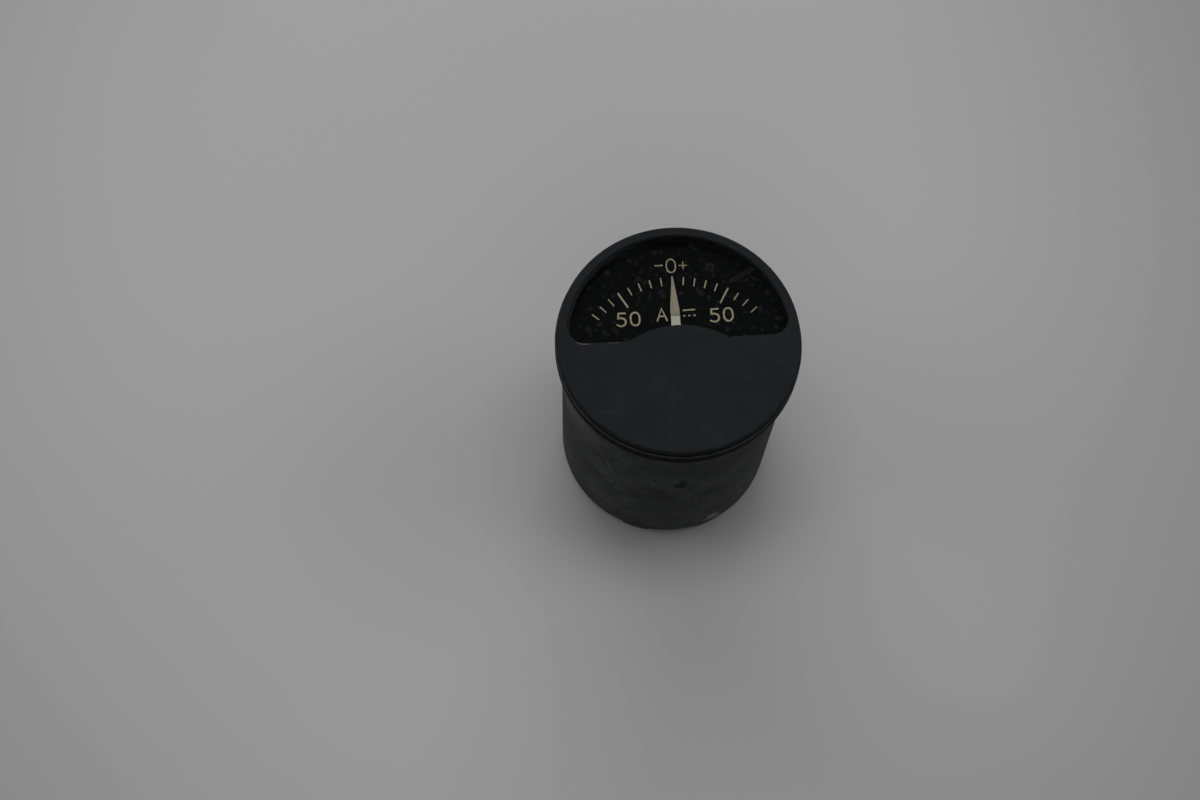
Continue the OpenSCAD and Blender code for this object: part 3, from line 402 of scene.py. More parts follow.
def nut_mesh(node, x):
    """A hexagon nut with both faces chamfered and a countersunk bore."""
    z0, z1 = low(node).z, high(node).z
    half = NUT_AF / 2
    flat_r = half * 0.97
    bore = STUD_R + NUT_PLAY
    sink = 0.25
    slope = math.tan(math.radians(30))
    turns = [2 * math.pi * i / 96 for i in range(96)]

    def circle(r, z):
        return [(x + r * math.cos(a), r * math.sin(a), z) for a in turns]

    def hexagon(z, way):
        """The six sides, with each corner cut back by the chamfer."""
        ring = []
        for a in turns:
            r = half / math.cos(math.radians(math.degrees(a) % 60 - 30))
            ring.append((x + r * math.cos(a), r * math.sin(a), z + way * (r - flat_r) * slope))
        return ring

    return loft([
        circle(bore, z0 + sink), circle(bore + sink, z0), circle(flat_r, z0), hexagon(z0, 1),
        hexagon(z1, -1), circle(flat_r, z1), circle(bore + sink, z1), circle(bore, z1 - sink),
    ])


def washer_mesh(node, x):
    """A punched washer, rounder at the outside of its rear face."""
    z0, z1 = low(node).z, high(node).z
    r_in = STUD_R + WASHER_PLAY
    r_out = NUT_AF / 2 + WASHER_PAST_NUT
    profile = filleted([(r_in, z0, 0.05), (r_out, z0, 0.14), (r_out, z1, 0.06), (r_in, z1, 0.05)], 3)
    return lathe(held(profile), 96, x)


# Figures on the dial, drawn as strokes with round ends
def spline(points, steps=8):
    """A smooth curve through the points."""
    out = []
    for i in range(len(points) - 1):
        p0 = points[max(i - 1, 0)]
        p1, p2 = points[i], points[i + 1]
        p3 = points[min(i + 2, len(points) - 1)]
        for k in range(steps):
            t = k / steps
            q = []
            for c in range(2):
                a = 2 * p1[c]
                b = (p2[c] - p0[c]) * t
                d = (2 * p0[c] - 5 * p1[c] + 4 * p2[c] - p3[c]) * t * t
                e = (3 * p1[c] - p0[c] - 3 * p2[c] + p3[c]) * t**3
                q.append((a + b + d + e) / 2)
            out.append(tuple(q))
    out.append(points[-1])
    return out


def round_end(end, before, r, steps=8):
    """The half circle at a stroke's end, without its first and last point."""
    along = heading(before, end)
    start = math.degrees(math.atan2(along.x, -along.y))
    return arc(end, r, start, start - 180, steps)[1:-1]


def stroke(points, width, top, loop=False):
    """One brush stroke, slightly uneven, as a thin closed solid on the dial."""
    half = width / 2
    n = len(points)
    left, right = [], []
    for i, p in enumerate(points):
        before = points[i - 1] if i or loop else p
        after = points[(i + 1) % n] if i < n - 1 or loop else p
        along = heading(before, after)
        mitre = 1.0
        if before != p and after != p:
            mitre = min(1.35, 1 / max(0.5, heading(before, p).dot(along)))
        w = half * mitre * (1 + 0.05 * math.sin(7.1 * p[0] + 5.3 * p[1]))
        left.append((p[0] - along.y * w, p[1] + along.x * w))
        right.append((p[0] + along.y * w, p[1] - along.x * w))
    if loop:
        return loft([level(left, top), level(right, top), level(right, dial_top), level(left, dial_top)])
    cap = round_end(points[-1], points[-2], half)
    outline = left + cap + right[::-1] + round_end(points[0], points[1], half)
    m = len(outline)
    last_right = n + len(cap)
    first_right = last_right + n - 1
    faces = [(i, first_right - i, first_right - i - 1, i + 1) for i in range(n - 1)]
    faces.append(tuple(range(n - 1, last_right + 1)))
    faces.append((*range(first_right, m), 0))
    faces += [tuple(m + i for i in reversed(face)) for face in faces]
    faces += [(i, i + m, (i + 1) % m + m, (i + 1) % m) for i in range(m)]
    return level(outline, top) + level(outline, dial_top), faces


def fuller(v):
    """A sine or cosine with flatter sides, in the range 0 to 1."""
    return 0.5 + 0.5 * math.copysign(abs(v) ** 0.86, v)


ZERO = [(fuller(math.cos(a)), fuller(math.sin(a))) for a in [2 * math.pi * i / 48 for i in range(48)]]
FIVE = [(0.94, 1.0), (0.6, 1.0), (0.17, 1.0), (0.13, 0.79), (0.07, 0.55)] + spline([
    (0.12, 0.57), (0.3, 0.63), (0.56, 0.62), (0.85, 0.51), (0.97, 0.31), (0.86, 0.11),
    (0.57, 0.0), (0.26, 0.0), (0.0, 0.09),
])


def glyph(path, box, width, top, loop=False):
    """A path of unit points put in a box of (x0, y0, x1, y1)."""
    x0, y0, x1, y1 = box
    half = width / 2
    wide, tall = x1 - x0 - width, y1 - y0 - width
    return stroke([(x0 + half + u * wide, y0 + half + v * tall) for u, v in path], width, top, loop)


def marks_mesh():
    """The scale's marks, painted by hand: round ends, uneven widths, and the last three thinner."""
    parts = []
    for i in range(-MARKS_EACH_SIDE, MARKS_EACH_SIDE + 1):
        major = i in (-MAJOR_MARK, 0, MAJOR_MARK)
        length = MAJOR_LENGTH if major else MINOR_LENGTH
        width = MAJOR_WIDTH if major else MINOR_WIDTH
        thinner = THINNER_AT_RIGHT if i > MAJOR_MARK else 0
        width *= 1 + 0.07 * math.sin(2.3 * i + 0.6) - thinner
        a = math.radians(90 - i * MARK_STEP)
        path = []
        for k in range(5):
            r = MARK_OUTER - width / 2 - (length - width) * k / 4
            path.append((r * math.cos(a), pivot_y + r * math.sin(a)))
        parts.append(stroke(path, width, dial_top + PAINT))
    return joined(parts)


def figures_mesh():
    """The numbers, minus and plus, and in the place of letters the signs A and direct current."""
    top = dial_top + PAINT
    crossing = top - 0.008
    parts = []
    for x in (-12.68, 7.42):
        five_box = (x, FIGURE_LOW, x + 2.26, FIGURE_LOW + 3.3)
        zero_box = (x + 2.9, FIGURE_LOW, x + 5.2, FIGURE_LOW + 3.38)
        parts.append(glyph(FIVE, five_box, FIGURE_STROKE, top))
        parts.append(glyph(ZERO, zero_box, FIGURE_STROKE, top, True))
    parts.append(glyph(ZERO, (-1.15, 17.25, 1.1, 20.65), 0.29, top, True))
    parts.append(stroke([(-3.42, 19.12), (-1.9, 19.16)], 0.29, top))
    parts.append(stroke([(1.8, 18.92), (3.4, 18.9)], 0.24, top))
    parts.append(stroke([(2.6, 18.1), (2.62, 19.7)], 0.24, crossing))
    parts.append(stroke([(-3.85, 6.15), (-2.825, 8.95), (-1.8, 6.15)], FIGURE_STROKE, top))
    parts.append(stroke([(-3.35, 7.15), (-2.3, 7.15)], FIGURE_STROKE * 0.85, crossing))
    parts.append(stroke([(1.85, 8.3), (4.3, 8.35)], 0.32, top))
    for x in (1.85, 2.95, 4.05):
        parts.append(stroke([(x, 7.0), (x + 0.25, 7.01)], 0.32, top))
    return joined(parts)


# Materials: one surface with short calls for its nodes
class Surface:
    """A new material with a principled shader, and calls that add nodes before it."""

    def __init__(self, name):
        self.material = bpy.data.materials.new(name)
        self.material.use_nodes = True
        self.tree = self.material.node_tree
        self.tree.nodes.clear()
        self.output = self.add("OutputMaterial")
        self.shader = self.add("BsdfPrincipled")
        self.put(self.output.inputs["Surface"], self.shader.outputs["BSDF"])

    def put(self, socket, value):
        """Links a socket to another node's output, or sets its own value."""
        if isinstance(value, bpy.types.NodeSocket):
            self.tree.links.new(value, socket)
        elif socket.type == "RGBA":
            socket.default_value = (*value, 1.0)
        else:
            socket.default_value = value

    def add(self, kind, values=None, **settings):
        """A new node with its settings, and its inputs by name or number."""
        node = self.tree.nodes.new("ShaderNode" + kind)
        for key, value in settings.items():
            setattr(node, key, value)
        for key, value in (values or {}).items():
            self.put(node.inputs[key], value)
        return node

    def finished(self, values, layers):
        """The material, with its shader's values and bumps of (height, strength, millimetres)."""
        normal = None
        for height, strength, tall in layers:
            bump = self.add("Bump", {"Strength": strength, "Distance": tall * MM, "Height": height})
            if normal is not None:
                self.put(bump.inputs["Normal"], normal)
            normal = bump.outputs["Normal"]
        for key, value in {**values, "Normal": normal}.items():
            self.put(self.shader.inputs[key], value)
        return self.material

    def calc(self, kind, a, b=0.0, c=0.0):
        return self.add("Math", {0: a, 1: b, 2: c}, operation=kind).outputs[0]

    def times(self, value, *others):
        for other in others:
            value = self.calc("MULTIPLY", value, other)
        return value

    def most(self, value, *others):
        """The greatest of several values."""
        for other in others:
            value = self.calc("MAXIMUM", value, other)
        return value

    def step(self, value, lo, hi, out_lo=0.0, out_hi=1.0):
        """A smooth change from out_lo to out_hi, while the value goes from lo to hi."""
        made = self.add("MapRange", {0: value, 1: lo, 2: hi, 3: out_lo, 4: out_hi},
                        interpolation_type="SMOOTHSTEP")
        return made.outputs[0]

    def fall(self, value, lo, hi, amount=1.0):
        """The amount up to lo, and nothing past hi."""
        return self.step(value, lo, hi, amount, 0.0)

    def mix(self, share, a, b):
        """Colour a where the share is 0, and colour b where it is 1."""
        return self.add("Mix", {0: share, 6: a, 7: b}, data_type="RGBA").outputs[2]

    def vector(self, kind, a, b):
        return self.add("VectorMath", {0: a, 1: b}, operation=kind).outputs[0]

    def scaled(self, a, by):
        return self.add("VectorMath", {0: a, "Scale": by}, operation="SCALE").outputs[0]

    def measured(self, kind, values):
        """The number that a vector operation gives, such as a length."""
        return self.add("VectorMath", values, operation=kind).outputs["Value"]

    def distance(self, a, b):
        return self.measured("DISTANCE", {0: a, 1: b})

    def length(self, a):
        return self.measured("LENGTH", {0: a})

    def point(self, shift=(0, 0, 0)):
        """The place on the surface in millimetres, moved by a shift."""
        coords = self.add("TexCoord").outputs["Object"]
        return self.vector("ADD", self.scaled(coords, 1000.0), shift)

    def split(self, a):
        return self.add("SeparateXYZ", {0: a}).outputs

    def flat(self, x, y):
        return self.add("CombineXYZ", {0: x, 1: y}).outputs[0]

    def round_axis(self, at):
        """The distance from the case's axis, and the height."""
        x, y, z = self.split(at)
        return self.length(self.flat(x, y)), z

    def noise(self, at, scale, detail=4.0, rough=0.55, bend=0.0):
        made = self.add("TexNoise", {
            "Vector": at, "Scale": scale, "Detail": detail, "Roughness": rough, "Distortion": bend,
        })
        return made.outputs["Fac"]

    def warp(self, at, scale, detail):
        """Three noises at once, as a vector."""
        return self.add("TexNoise", {"Vector": at, "Scale": scale, "Detail": detail}).outputs["Color"]

    def cells(self, at, scale):
        """Scattered cells: the distance from each cell's middle, and a number of its own."""
        made = self.add("TexVoronoi", {"Vector": at, "Scale": scale, "Randomness": 1.0})
        return made.outputs["Distance"], self.split(made.outputs["Color"])[0]


def scaled_colour(colour, k):
    return tuple(min(1.0, c * k) for c in colour)


def thin_arcs(mat, at, arcs):
    """Thin curved marks: each is (centre, radius, half width, middle, reach)."""
    bent = mat.vector("ADD", at, mat.scaled(mat.warp(at, 0.35, 2.0), 0.9))
    kept = []
    for centre, radius, half, middle, reach in arcs:
        off = mat.calc("ABSOLUTE", mat.calc("SUBTRACT", mat.distance(bent, centre), radius))
        near = mat.distance(bent, middle)
        kept.append(mat.times(mat.fall(off, half, half * 2.2), mat.fall(near, reach * 0.7, reach)))
    return mat.most(*kept)


# Kinds of finish
def black_paint(name, colour, dust, rough, ior, dusty, seed, marks=None, worn_rings=(), worn_colour=None):
    """Old black enamel: slight mottling, settled dust, rubbed edges and fine grain."""
    mat = Surface(name)
    at = mat.point((seed, seed * 0.7, -seed))
    broad = mat.noise(at, 0.09, 3.0)
    cloud = mat.noise(at, 0.45, 6.0, 0.62, 0.4)
    fine = mat.noise(at, 3.2, 5.0, 0.6)
    grain = mat.noise(at, 9.0, 2.0)
    base = mat.mix(mat.step(broad, 0.35, 0.65), colour, scaled_colour(colour, 1.35))
    settled = mat.times(mat.step(cloud, 0.42, 0.72), mat.step(fine, 0.3, 0.7), dusty)
    base = mat.mix(settled, base, dust)
    away, pick = mat.cells(at, 0.9)
    motes = mat.times(mat.fall(away, 0.05, 0.11), mat.step(pick, 0.72, 0.8), 0.35)
    base = mat.mix(motes, base, scaled_colour(dust, 1.6))
    if worn_rings:
        from_axis, z = mat.round_axis(mat.point())
        chips = mat.step(mat.noise(at, 0.7, 5.0, 0.7), 0.42, 0.66)
        rubbed = []
        for ring_at, z_at, wide in worn_rings:
            off = mat.flat(mat.calc("SUBTRACT", from_axis, ring_at), mat.calc("SUBTRACT", z, z_at))
            rubbed.append(mat.times(mat.fall(mat.length(off), wide * 0.2, wide), chips))
        base = mat.mix(mat.most(*rubbed), base, worn_colour)
    roughness = mat.calc("MULTIPLY_ADD", settled, 0.3, rough)
    roughness = mat.calc("ADD", roughness, mat.calc("MULTIPLY_ADD", fine, 0.12, -0.06))
    layers = [(cloud, 0.25, 0.03), (fine, 0.35, 0.02), (grain, 0.2, 0.01)]
    if marks:
        base, more_layers = marks(mat, base)
        layers += more_layers
    return mat.finished({"Base Color": base, "Roughness": roughness, "IOR": ior}, layers)


def metal(name, colour, tarnish, rough, pitted, seed, brushed=None):
    """Bare or plated metal with handling stains, fine tool lines and dull patches."""
    mat = Surface(name)
    at = mat.point((seed, -seed, seed * 0.5))
    patch = mat.noise(at, 0.35, 5.0, 0.6, 0.5)
    fine = mat.noise(at, 2.6, 5.0, 0.65)
    stain = mat.times(mat.step(patch, 0.4, 0.7), mat.step(fine, 0.25, 0.75))
    if brushed:
        lines = mat.noise(mat.vector("MULTIPLY", at, brushed), 1.0, 3.0, 0.5)
    else:
        lines = mat.noise(at, 6.0, 3.0, 0.5)
    pits = mat.noise(at, 1.5, 6.0, 0.7)
    roughness = mat.calc("MULTIPLY_ADD", stain, 0.3, rough)
    roughness = mat.calc("ADD", roughness, mat.calc("MULTIPLY_ADD", lines, 0.16, -0.08))
    values = {"Base Color": mat.mix(stain, colour, tarnish), "Roughness": roughness, "Metallic": 1.0}
    return mat.finished(values, [(lines, 0.3, 0.012), (pits, 0.2 + pitted, 0.02 + 0.05 * pitted)])


def plain_solid(name, colour, second, rough, gloss, grain=1.2, seed=0.0, stripes=None):
    """Moulded, fibre or rubber pieces: two mixed tones, a dull bloom and a fine grain."""
    mat = Surface(name)
    at = mat.point((seed, seed * 1.3, seed * 0.4))
    if stripes:
        at = mat.vector("MULTIPLY", at, stripes)
    flow = mat.noise(at, 0.3, 4.0, 0.55, 1.2)
    fine = mat.noise(at, 2.2 * grain, 5.0, 0.6)
    base = mat.mix(mat.step(flow, 0.35, 0.68), colour, second)
    bloom = mat.times(mat.step(fine, 0.45, 0.75), 0.3)
    base = mat.mix(bloom, base, scaled_colour(second, 1.9))
    roughness = mat.calc("MULTIPLY_ADD", fine, 0.25, rough - 0.12)
    values = {"Base Color": base, "Roughness": roughness, "Specular IOR Level": gloss}
    return mat.finished(values, [(flow, 0.15, 0.03), (fine, 0.3, 0.02)])


def wound_wire(name, colour, dark, pitch):
    """Layers of wire: fine ridges along the winding and slight colour changes."""
    mat = Surface(name)
    at = mat.point()
    wave = mat.add("TexWave", {"Vector": at, "Scale": 1.0 / pitch, "Distortion": 0.6, "Detail": 1.0},
                   wave_type="BANDS", bands_direction="Z")
    ridges = wave.outputs["Fac"]
    patch = mat.noise(at, 0.8, 4.0)
    base = mat.mix(mat.times(ridges, 0.8), dark, colour)
    base = mat.mix(mat.step(patch, 0.5, 0.75, 0.0, 0.4), base, scaled_colour(colour, 0.6))
    roughness = mat.calc("MULTIPLY_ADD", patch, 0.2, 0.25)
    values = {"Base Color": base, "Roughness": roughness, "Metallic": 0.6}
    return mat.finished(values, [(ridges, 0.6, 0.05), (patch, 0.2, 0.02)])


def aged_paint(name, colour, stain, rough, seed, stained, white=None, white_below=None):
    """Old cream paint with a little grime; a second, whiter coat near the hub if asked."""
    mat = Surface(name)
    at = mat.point((seed, seed, 0))
    dirt = mat.noise(at, 1.4, 5.0, 0.65)
    grain = mat.noise(at, 7.0, 3.0)
    base = mat.mix(mat.step(dirt, 0.45, 0.75, 0.0, stained), colour, stain)
    if white:
        wavy = mat.calc("MULTIPLY_ADD", dirt, 0.25, mat.split(mat.point())[1])
        off = mat.calc("ABSOLUTE", mat.calc("SUBTRACT", wavy, white_below + 0.28))
        base = mat.mix(mat.times(mat.fall(off, 0.1, 0.3), 0.45), base, scaled_colour(stain, 0.5))
        base = mat.mix(mat.fall(wavy, white_below + 0.06, white_below + 0.2), base, white)
    roughness = mat.calc("MULTIPLY_ADD", dirt, 0.2, rough - 0.1)
    values = {"Base Color": base, "Roughness": roughness, "Specular IOR Level": 0.25}
    return mat.finished(values, [(grain, 0.25, 0.01), (dirt, 0.2, 0.01)])


# Marks that belong to one place on the front, the ring and the dial
SCUFFS = [
    ((-14.0, -6.0, face_z), 9.6, 0.05, (-15.2, -15.4, face_z), 1.7),
    ((-11.6, -9.0, face_z), 7.2, 0.04, (-13.6, -16.0, face_z), 1.3),
]
FACE_SPOT = (2.2, -1.3, face_z)
# Spans of the window's edge at the lower left that carry a painted highlight: from x, to x, strength
GLINT_SPANS = [(-21.9, -18.6, 0.6), (-15.1, -12.6, 0.25)]


def front_marks(mat, base):
    """Two scuffs and a dark spot, a painted highlight along two spans of the window's edge, and the side
    wall painted lighter than the face to lift the shade it stands in.
    """
    at = mat.point()
    x, y, z = mat.split(at)
    scuffs = mat.times(thin_arcs(mat, at, SCUFFS), mat.step(mat.noise(at, 2.2, 4.0), 0.4, 0.6))
    base = mat.mix(mat.times(scuffs, 0.3), base, (0.045, 0.046, 0.048))
    near = mat.distance(at, FACE_SPOT)
    spot = mat.times(mat.fall(near, 0.25, 0.8), mat.step(mat.noise(at, 1.6, 4.0), 0.4, 0.55), 0.7)
    base = mat.mix(spot, base, (0.004, 0.004, 0.005))
    # A painted highlight: a thin pink glint along the broken edge past the lower left corner
    past_corner = mat.calc("MINIMUM", mat.calc("ADD", x, corner_x), 0.0)
    below_corner = mat.calc("SUBTRACT", y, chord_y + CORNER_R)
    off = mat.length(mat.flat(past_corner, below_corner))
    glint_band = mat.times(mat.step(off, CORNER_R - 0.1, CORNER_R),
                     mat.fall(off, CORNER_R + 0.16, CORNER_R + 0.34))
    glint_band = mat.times(glint_band, mat.step(z, face_z - 0.3, face_z - 0.05))
    for x0, x1, amount in GLINT_SPANS:
        glint = mat.times(mat.step(x, x0, x0 + 0.7), mat.fall(x, x1 - 0.7, x1), glint_band, amount)
        base = mat.mix(glint, base, (0.115, 0.08, 0.11))
    # Painted light: the side wall just below the face gets a lighter colour than the face, to lift the
    # shade it stands in
    side = mat.fall(z, face_z - 0.5, face_z - 0.2, 0.85)
    base = mat.mix(side, base, (0.0095, 0.0098, 0.0103))
    return base, [(scuffs, 0.3, -0.02)]


def ring_marks(mat, base):
    """The ledge round the front is painted lighter: patchy dust and rubbing, and a painted highlight that
    lifts the ledge out of its shade.
    """
    at = mat.point()
    from_axis, z = mat.round_axis(at)
    top = mat.step(z, ring_top - 0.12, ring_top - 0.03)
    outside = mat.step(from_axis, RING_IN - 0.1, RING_IN + 0.05)
    patchy = mat.step(mat.noise(at, 0.25, 5.0, 0.65), 0.3, 0.6, 0.45, 1.0)
    # Painted light and dust: the lighter ledge stands partly for dust and partly for the light the ledge
    # catches
    return mat.mix(mat.times(top, outside, patchy), base, (0.0315, 0.0326, 0.034)), []


def dial_age(mat, base):
    """Faint paler patches of age."""
    patches = mat.times(mat.step(mat.noise(mat.point(), 0.6, 6.0, 0.7), 0.58, 0.75), 0.35)
    return mat.mix(patches, base, (0.012, 0.0095, 0.013)), []


# Marks on the case, placed by degrees from six o'clock and height above the rear rim
def on_wall(degrees, up):
    """The point on the barrel's surface."""
    a = math.radians(degrees - 90)
    return CASE_R * math.cos(a), CASE_R * math.sin(a), rim_z + up


SCRATCHES = [
    (on_wall(-69, 32.8), 13.2, 0.07, on_wall(-40, 37.8), 5.5),
    (on_wall(-20, 18.8), 14.2, 0.05, on_wall(-38, 30.3), 6.0),
    (on_wall(-5, 42.8), 15.0, 0.05, on_wall(-22, 28.6), 4.5),
    (on_wall(30, 16.8), 17.0, 0.05, on_wall(12, 32.3), 3.0),
    (on_wall(150, 28.8), 12.0, 0.05, on_wall(172, 35.8), 6.0),
    (on_wall(110, 18.8), 10.0, 0.05, on_wall(95, 25.8), 5.0),
]
# Two paler patches high on the left: degrees from six o'clock, height, reach
PALER_PATCHES = [(-84.0, 50.0, 15.0), (-66.0, 44.0, 11.0)]
HOLE_TURNS = (0.0, 120.0, 240.0)
HOLE_SMEARS = [(0.5, 0.7), (0.9, 1.7), (0.9, 2.8)]
CHIP_SPOTS = [(23.0, 3.7, 1.9), (21.0, 2.4, 1.4), (25.0, 2.0, 1.3)]


def case_wear(mat, at, z, base):
    """A pale haze, a colour that grows paler towards the rear rim, and two paler mottled patches high on
    the left.
    """
    rubbed = mat.step(mat.noise(at, 0.11, 3.0, 0.6), 0.44, 0.62)
    haze = mat.times(rubbed, mat.step(mat.noise(at, 1.1, 6.0, 0.7), 0.35, 0.7), 0.3)
    base = mat.mix(haze, base, (0.12, 0.13, 0.122))
    # Paler towards the rear rim
    paler_toward_rim = mat.fall(z, rim_z + 1.0, rim_z + 26.0, 0.12)
    base = mat.mix(paler_toward_rim, base, (0.12, 0.125, 0.118))
    mottled = mat.step(mat.noise(at, 0.35, 5.0, 0.65), 0.3, 0.65, 0.35, 1.0)
    # Paler mottled patches high on the left
    for turned, up, reach in PALER_PATCHES:
        near = mat.distance(at, on_wall(turned, up))
        paler_patch = mat.times(mat.fall(near, reach * 0.3, reach, 0.4), mottled)
        base = mat.mix(paler_patch, base, (0.124, 0.124, 0.118))
    return base


def hole_dirt(mat, at, from_axis, base):
    """Grime round each screw hole and smears above it; inside the hole a paler colour, partly settled dust
    and partly painted light that lifts the hole's shade.
    """
    sunk = mat.fall(from_axis, CASE_R - 0.12, CASE_R - 0.04)
    for turned in HOLE_TURNS:
        near = mat.distance(at, on_wall(turned, hole_up))
        base = mat.mix(mat.fall(near, 0.9, 1.9, 0.8), base, (0.0095, 0.0112, 0.0105))
        for aside, above in HOLE_SMEARS:
            near_smear = mat.distance(at, on_wall(turned + aside, hole_up + above))
            base = mat.mix(mat.fall(near_smear, 0.5, 1.6, 0.7), base, (0.0085, 0.011, 0.01))
        # Painted light and dust: the hole's inner wall is painted paler, to lift the shade in the recess
        settled = mat.times(mat.fall(near, 1.2, 1.4), sunk)
        base = mat.mix(settled, base, (0.05, 0.055, 0.052))
    return base


def rim_chip(mat, at):
    """Where the paint is off at the rear rim, with a ragged outline."""
    ragged = mat.noise(at, 1.3, 5.0, 0.7)
    spots = []
    for turned, up, size in CHIP_SPOTS:
        away = mat.calc("SUBTRACT", mat.distance(at, on_wall(turned, up)), 2.65)
        away = mat.calc("MULTIPLY_ADD", ragged, 5.5, away)
        spots.append(mat.fall(away, size * 0.5, size))
    return mat.most(*spots)


def case_marks(mat, base):
    """Wear, scratches, dirty screw holes, a chip at the rear rim, and a darker inside."""
    at = mat.point()
    from_axis, z = mat.round_axis(at)
    base = case_wear(mat, at, z, base)
    lines = mat.times(thin_arcs(mat, at, SCRATCHES), mat.step(mat.noise(at, 1.4, 4.0), 0.35, 0.6))
    base = mat.mix(mat.times(lines, 0.42), base, (0.22, 0.215, 0.195))
    base = hole_dirt(mat, at, from_axis, base)
    chip = rim_chip(mat, at)
    base = mat.mix(mat.times(chip, 0.85), base, (0.195, 0.18, 0.155))
    inside = mat.times(mat.fall(from_axis, CASE_R - 0.85, CASE_R - 0.75),
                       mat.step(z, rim_z + 0.1, rim_z + 0.3))
    base = mat.mix(inside, base, (0.0055, 0.006, 0.0065))
    return base, [(lines, 0.3, -0.02), (chip, 0.4, -0.05)]


# Dirt on the window: specks of (x, y, radius, strength), and the ends of a smeared streak
SPECKS = [
    (8.0, 16.3, 1.15, 0.6), (-18.95, 3.27, 0.75, 0.45), (-2.9, 10.9, 0.8, 0.5),
    (-2.6, 10.1, 0.7, 0.4), (5.54, 10.48, 0.8, 0.35), (-7.47, 14.41, 0.75, 0.45),
    (4.3, 21.8, 0.6, 0.35), (-14.1, 16.2, 0.75, 0.4), (-6.66, 16.5, 0.4, 0.4),
    (-15.9, 1.95, 0.4, 0.4), (-15.2, 1.92, 0.4, 0.4), (-14.6, 1.9, 0.35, 0.4),
    (-5.0, 13.2, 0.35, 0.5), (12.8, 8.4, 0.4, 0.3), (15.0, 5.4, 0.35, 0.3),
    (7.2, 9.3, 0.45, 0.25), (-10.4, 20.0, 0.35, 0.3), (1.8, 14.9, 0.3, 0.3),
    (-3.6, 20.4, 0.5, 0.25), (10.6, 12.8, 0.35, 0.3), (16.8, 11.7, 0.3, 0.3),
]
STREAK_START = Vector((12.0, 12.7, 0))
STREAK_END = Vector((17.2, 15.5, 0))


def specks(mat, at):
    """Dried drops: soft rims and paler middles."""
    spots = []
    for x, y, r, strength in SPECKS:
        away = mat.distance(at, (x, y, 0))
        spots.append(mat.times(mat.fall(away, r * 0.75, r, strength * 0.16),
                               mat.step(away, r * 0.2, r * 0.75, 0.5, 1.0)))
    return mat.most(*spots)


def streak(mat, at):
    """One soft smear with faded ends."""
    along = (STREAK_END - STREAK_START).normalized()
    across = Vector((-along.y, along.x, 0))
    moved = mat.vector("SUBTRACT", at, STREAK_START)
    down = mat.measured("DOT_PRODUCT", {0: moved, 1: along})
    aside = mat.calc("ABSOLUTE", mat.measured("DOT_PRODUCT", {0: moved, 1: across}))
    ends = mat.times(mat.step(down, -0.6, 0.8), mat.fall(down, 5.2, 6.6))
    return mat.times(mat.fall(aside, 0.1, 0.75, 0.07), ends)


def window_film():
    """Clear glass that reflects a little, with dull dirt on its upper face."""
    mat = Surface("window_film")
    x, y, z = mat.split(mat.point())
    flat = mat.flat(x, y)
    lean = mat.vector("SUBTRACT", mat.warp(flat, 1.1, 3.0), (0.5, 0.5, 0.5))
    bent = mat.vector("ADD", flat, mat.scaled(lean, 0.8))
    haze = mat.step(mat.noise(flat, 0.8, 6.0, 0.7), 0.5, 0.8, 0.0, 0.07)
    away, pick = mat.cells(bent, 0.55)
    small = mat.times(mat.fall(away, 0.12, 0.32, 0.09), mat.step(pick, 0.3, 0.7))
    upper = mat.step(z, glass_low + 0.3, glass_top - 0.3)
    dirt = mat.times(mat.most(specks(mat, bent), streak(mat, bent), mat.most(haze, small)), upper)
    colour = mat.mix(mat.step(mat.noise(flat, 0.4, 2.0), 0.4, 0.6),
                     (0.085, 0.062, 0.085), (0.07, 0.07, 0.085))
    clear = mat.add("BsdfTransparent", {"Color": (0.97, 0.975, 0.97)}).outputs[0]
    gloss = mat.add("Fresnel", {"IOR": 1.45}).outputs[0]
    shown = mat.most(mat.times(gloss, 0.6), dirt)
    both = mat.add("MixShader", {0: shown, 1: clear, 2: mat.shader.outputs["BSDF"]}).outputs[0]
    mat.put(mat.output.inputs["Surface"], both)
    values = {
        "Base Color": mat.mix(mat.step(dirt, 0.01, 0.05), (1.0, 1.0, 1.0), colour),
        "Metallic": mat.fall(dirt, 0.01, 0.05),
        "Roughness": mat.step(dirt, 0.0, 0.3, 0.03, 0.8),
    }
    return mat.finished(values, [(mat.noise(flat, 0.12, 2.0), 0.05, 0.02)])


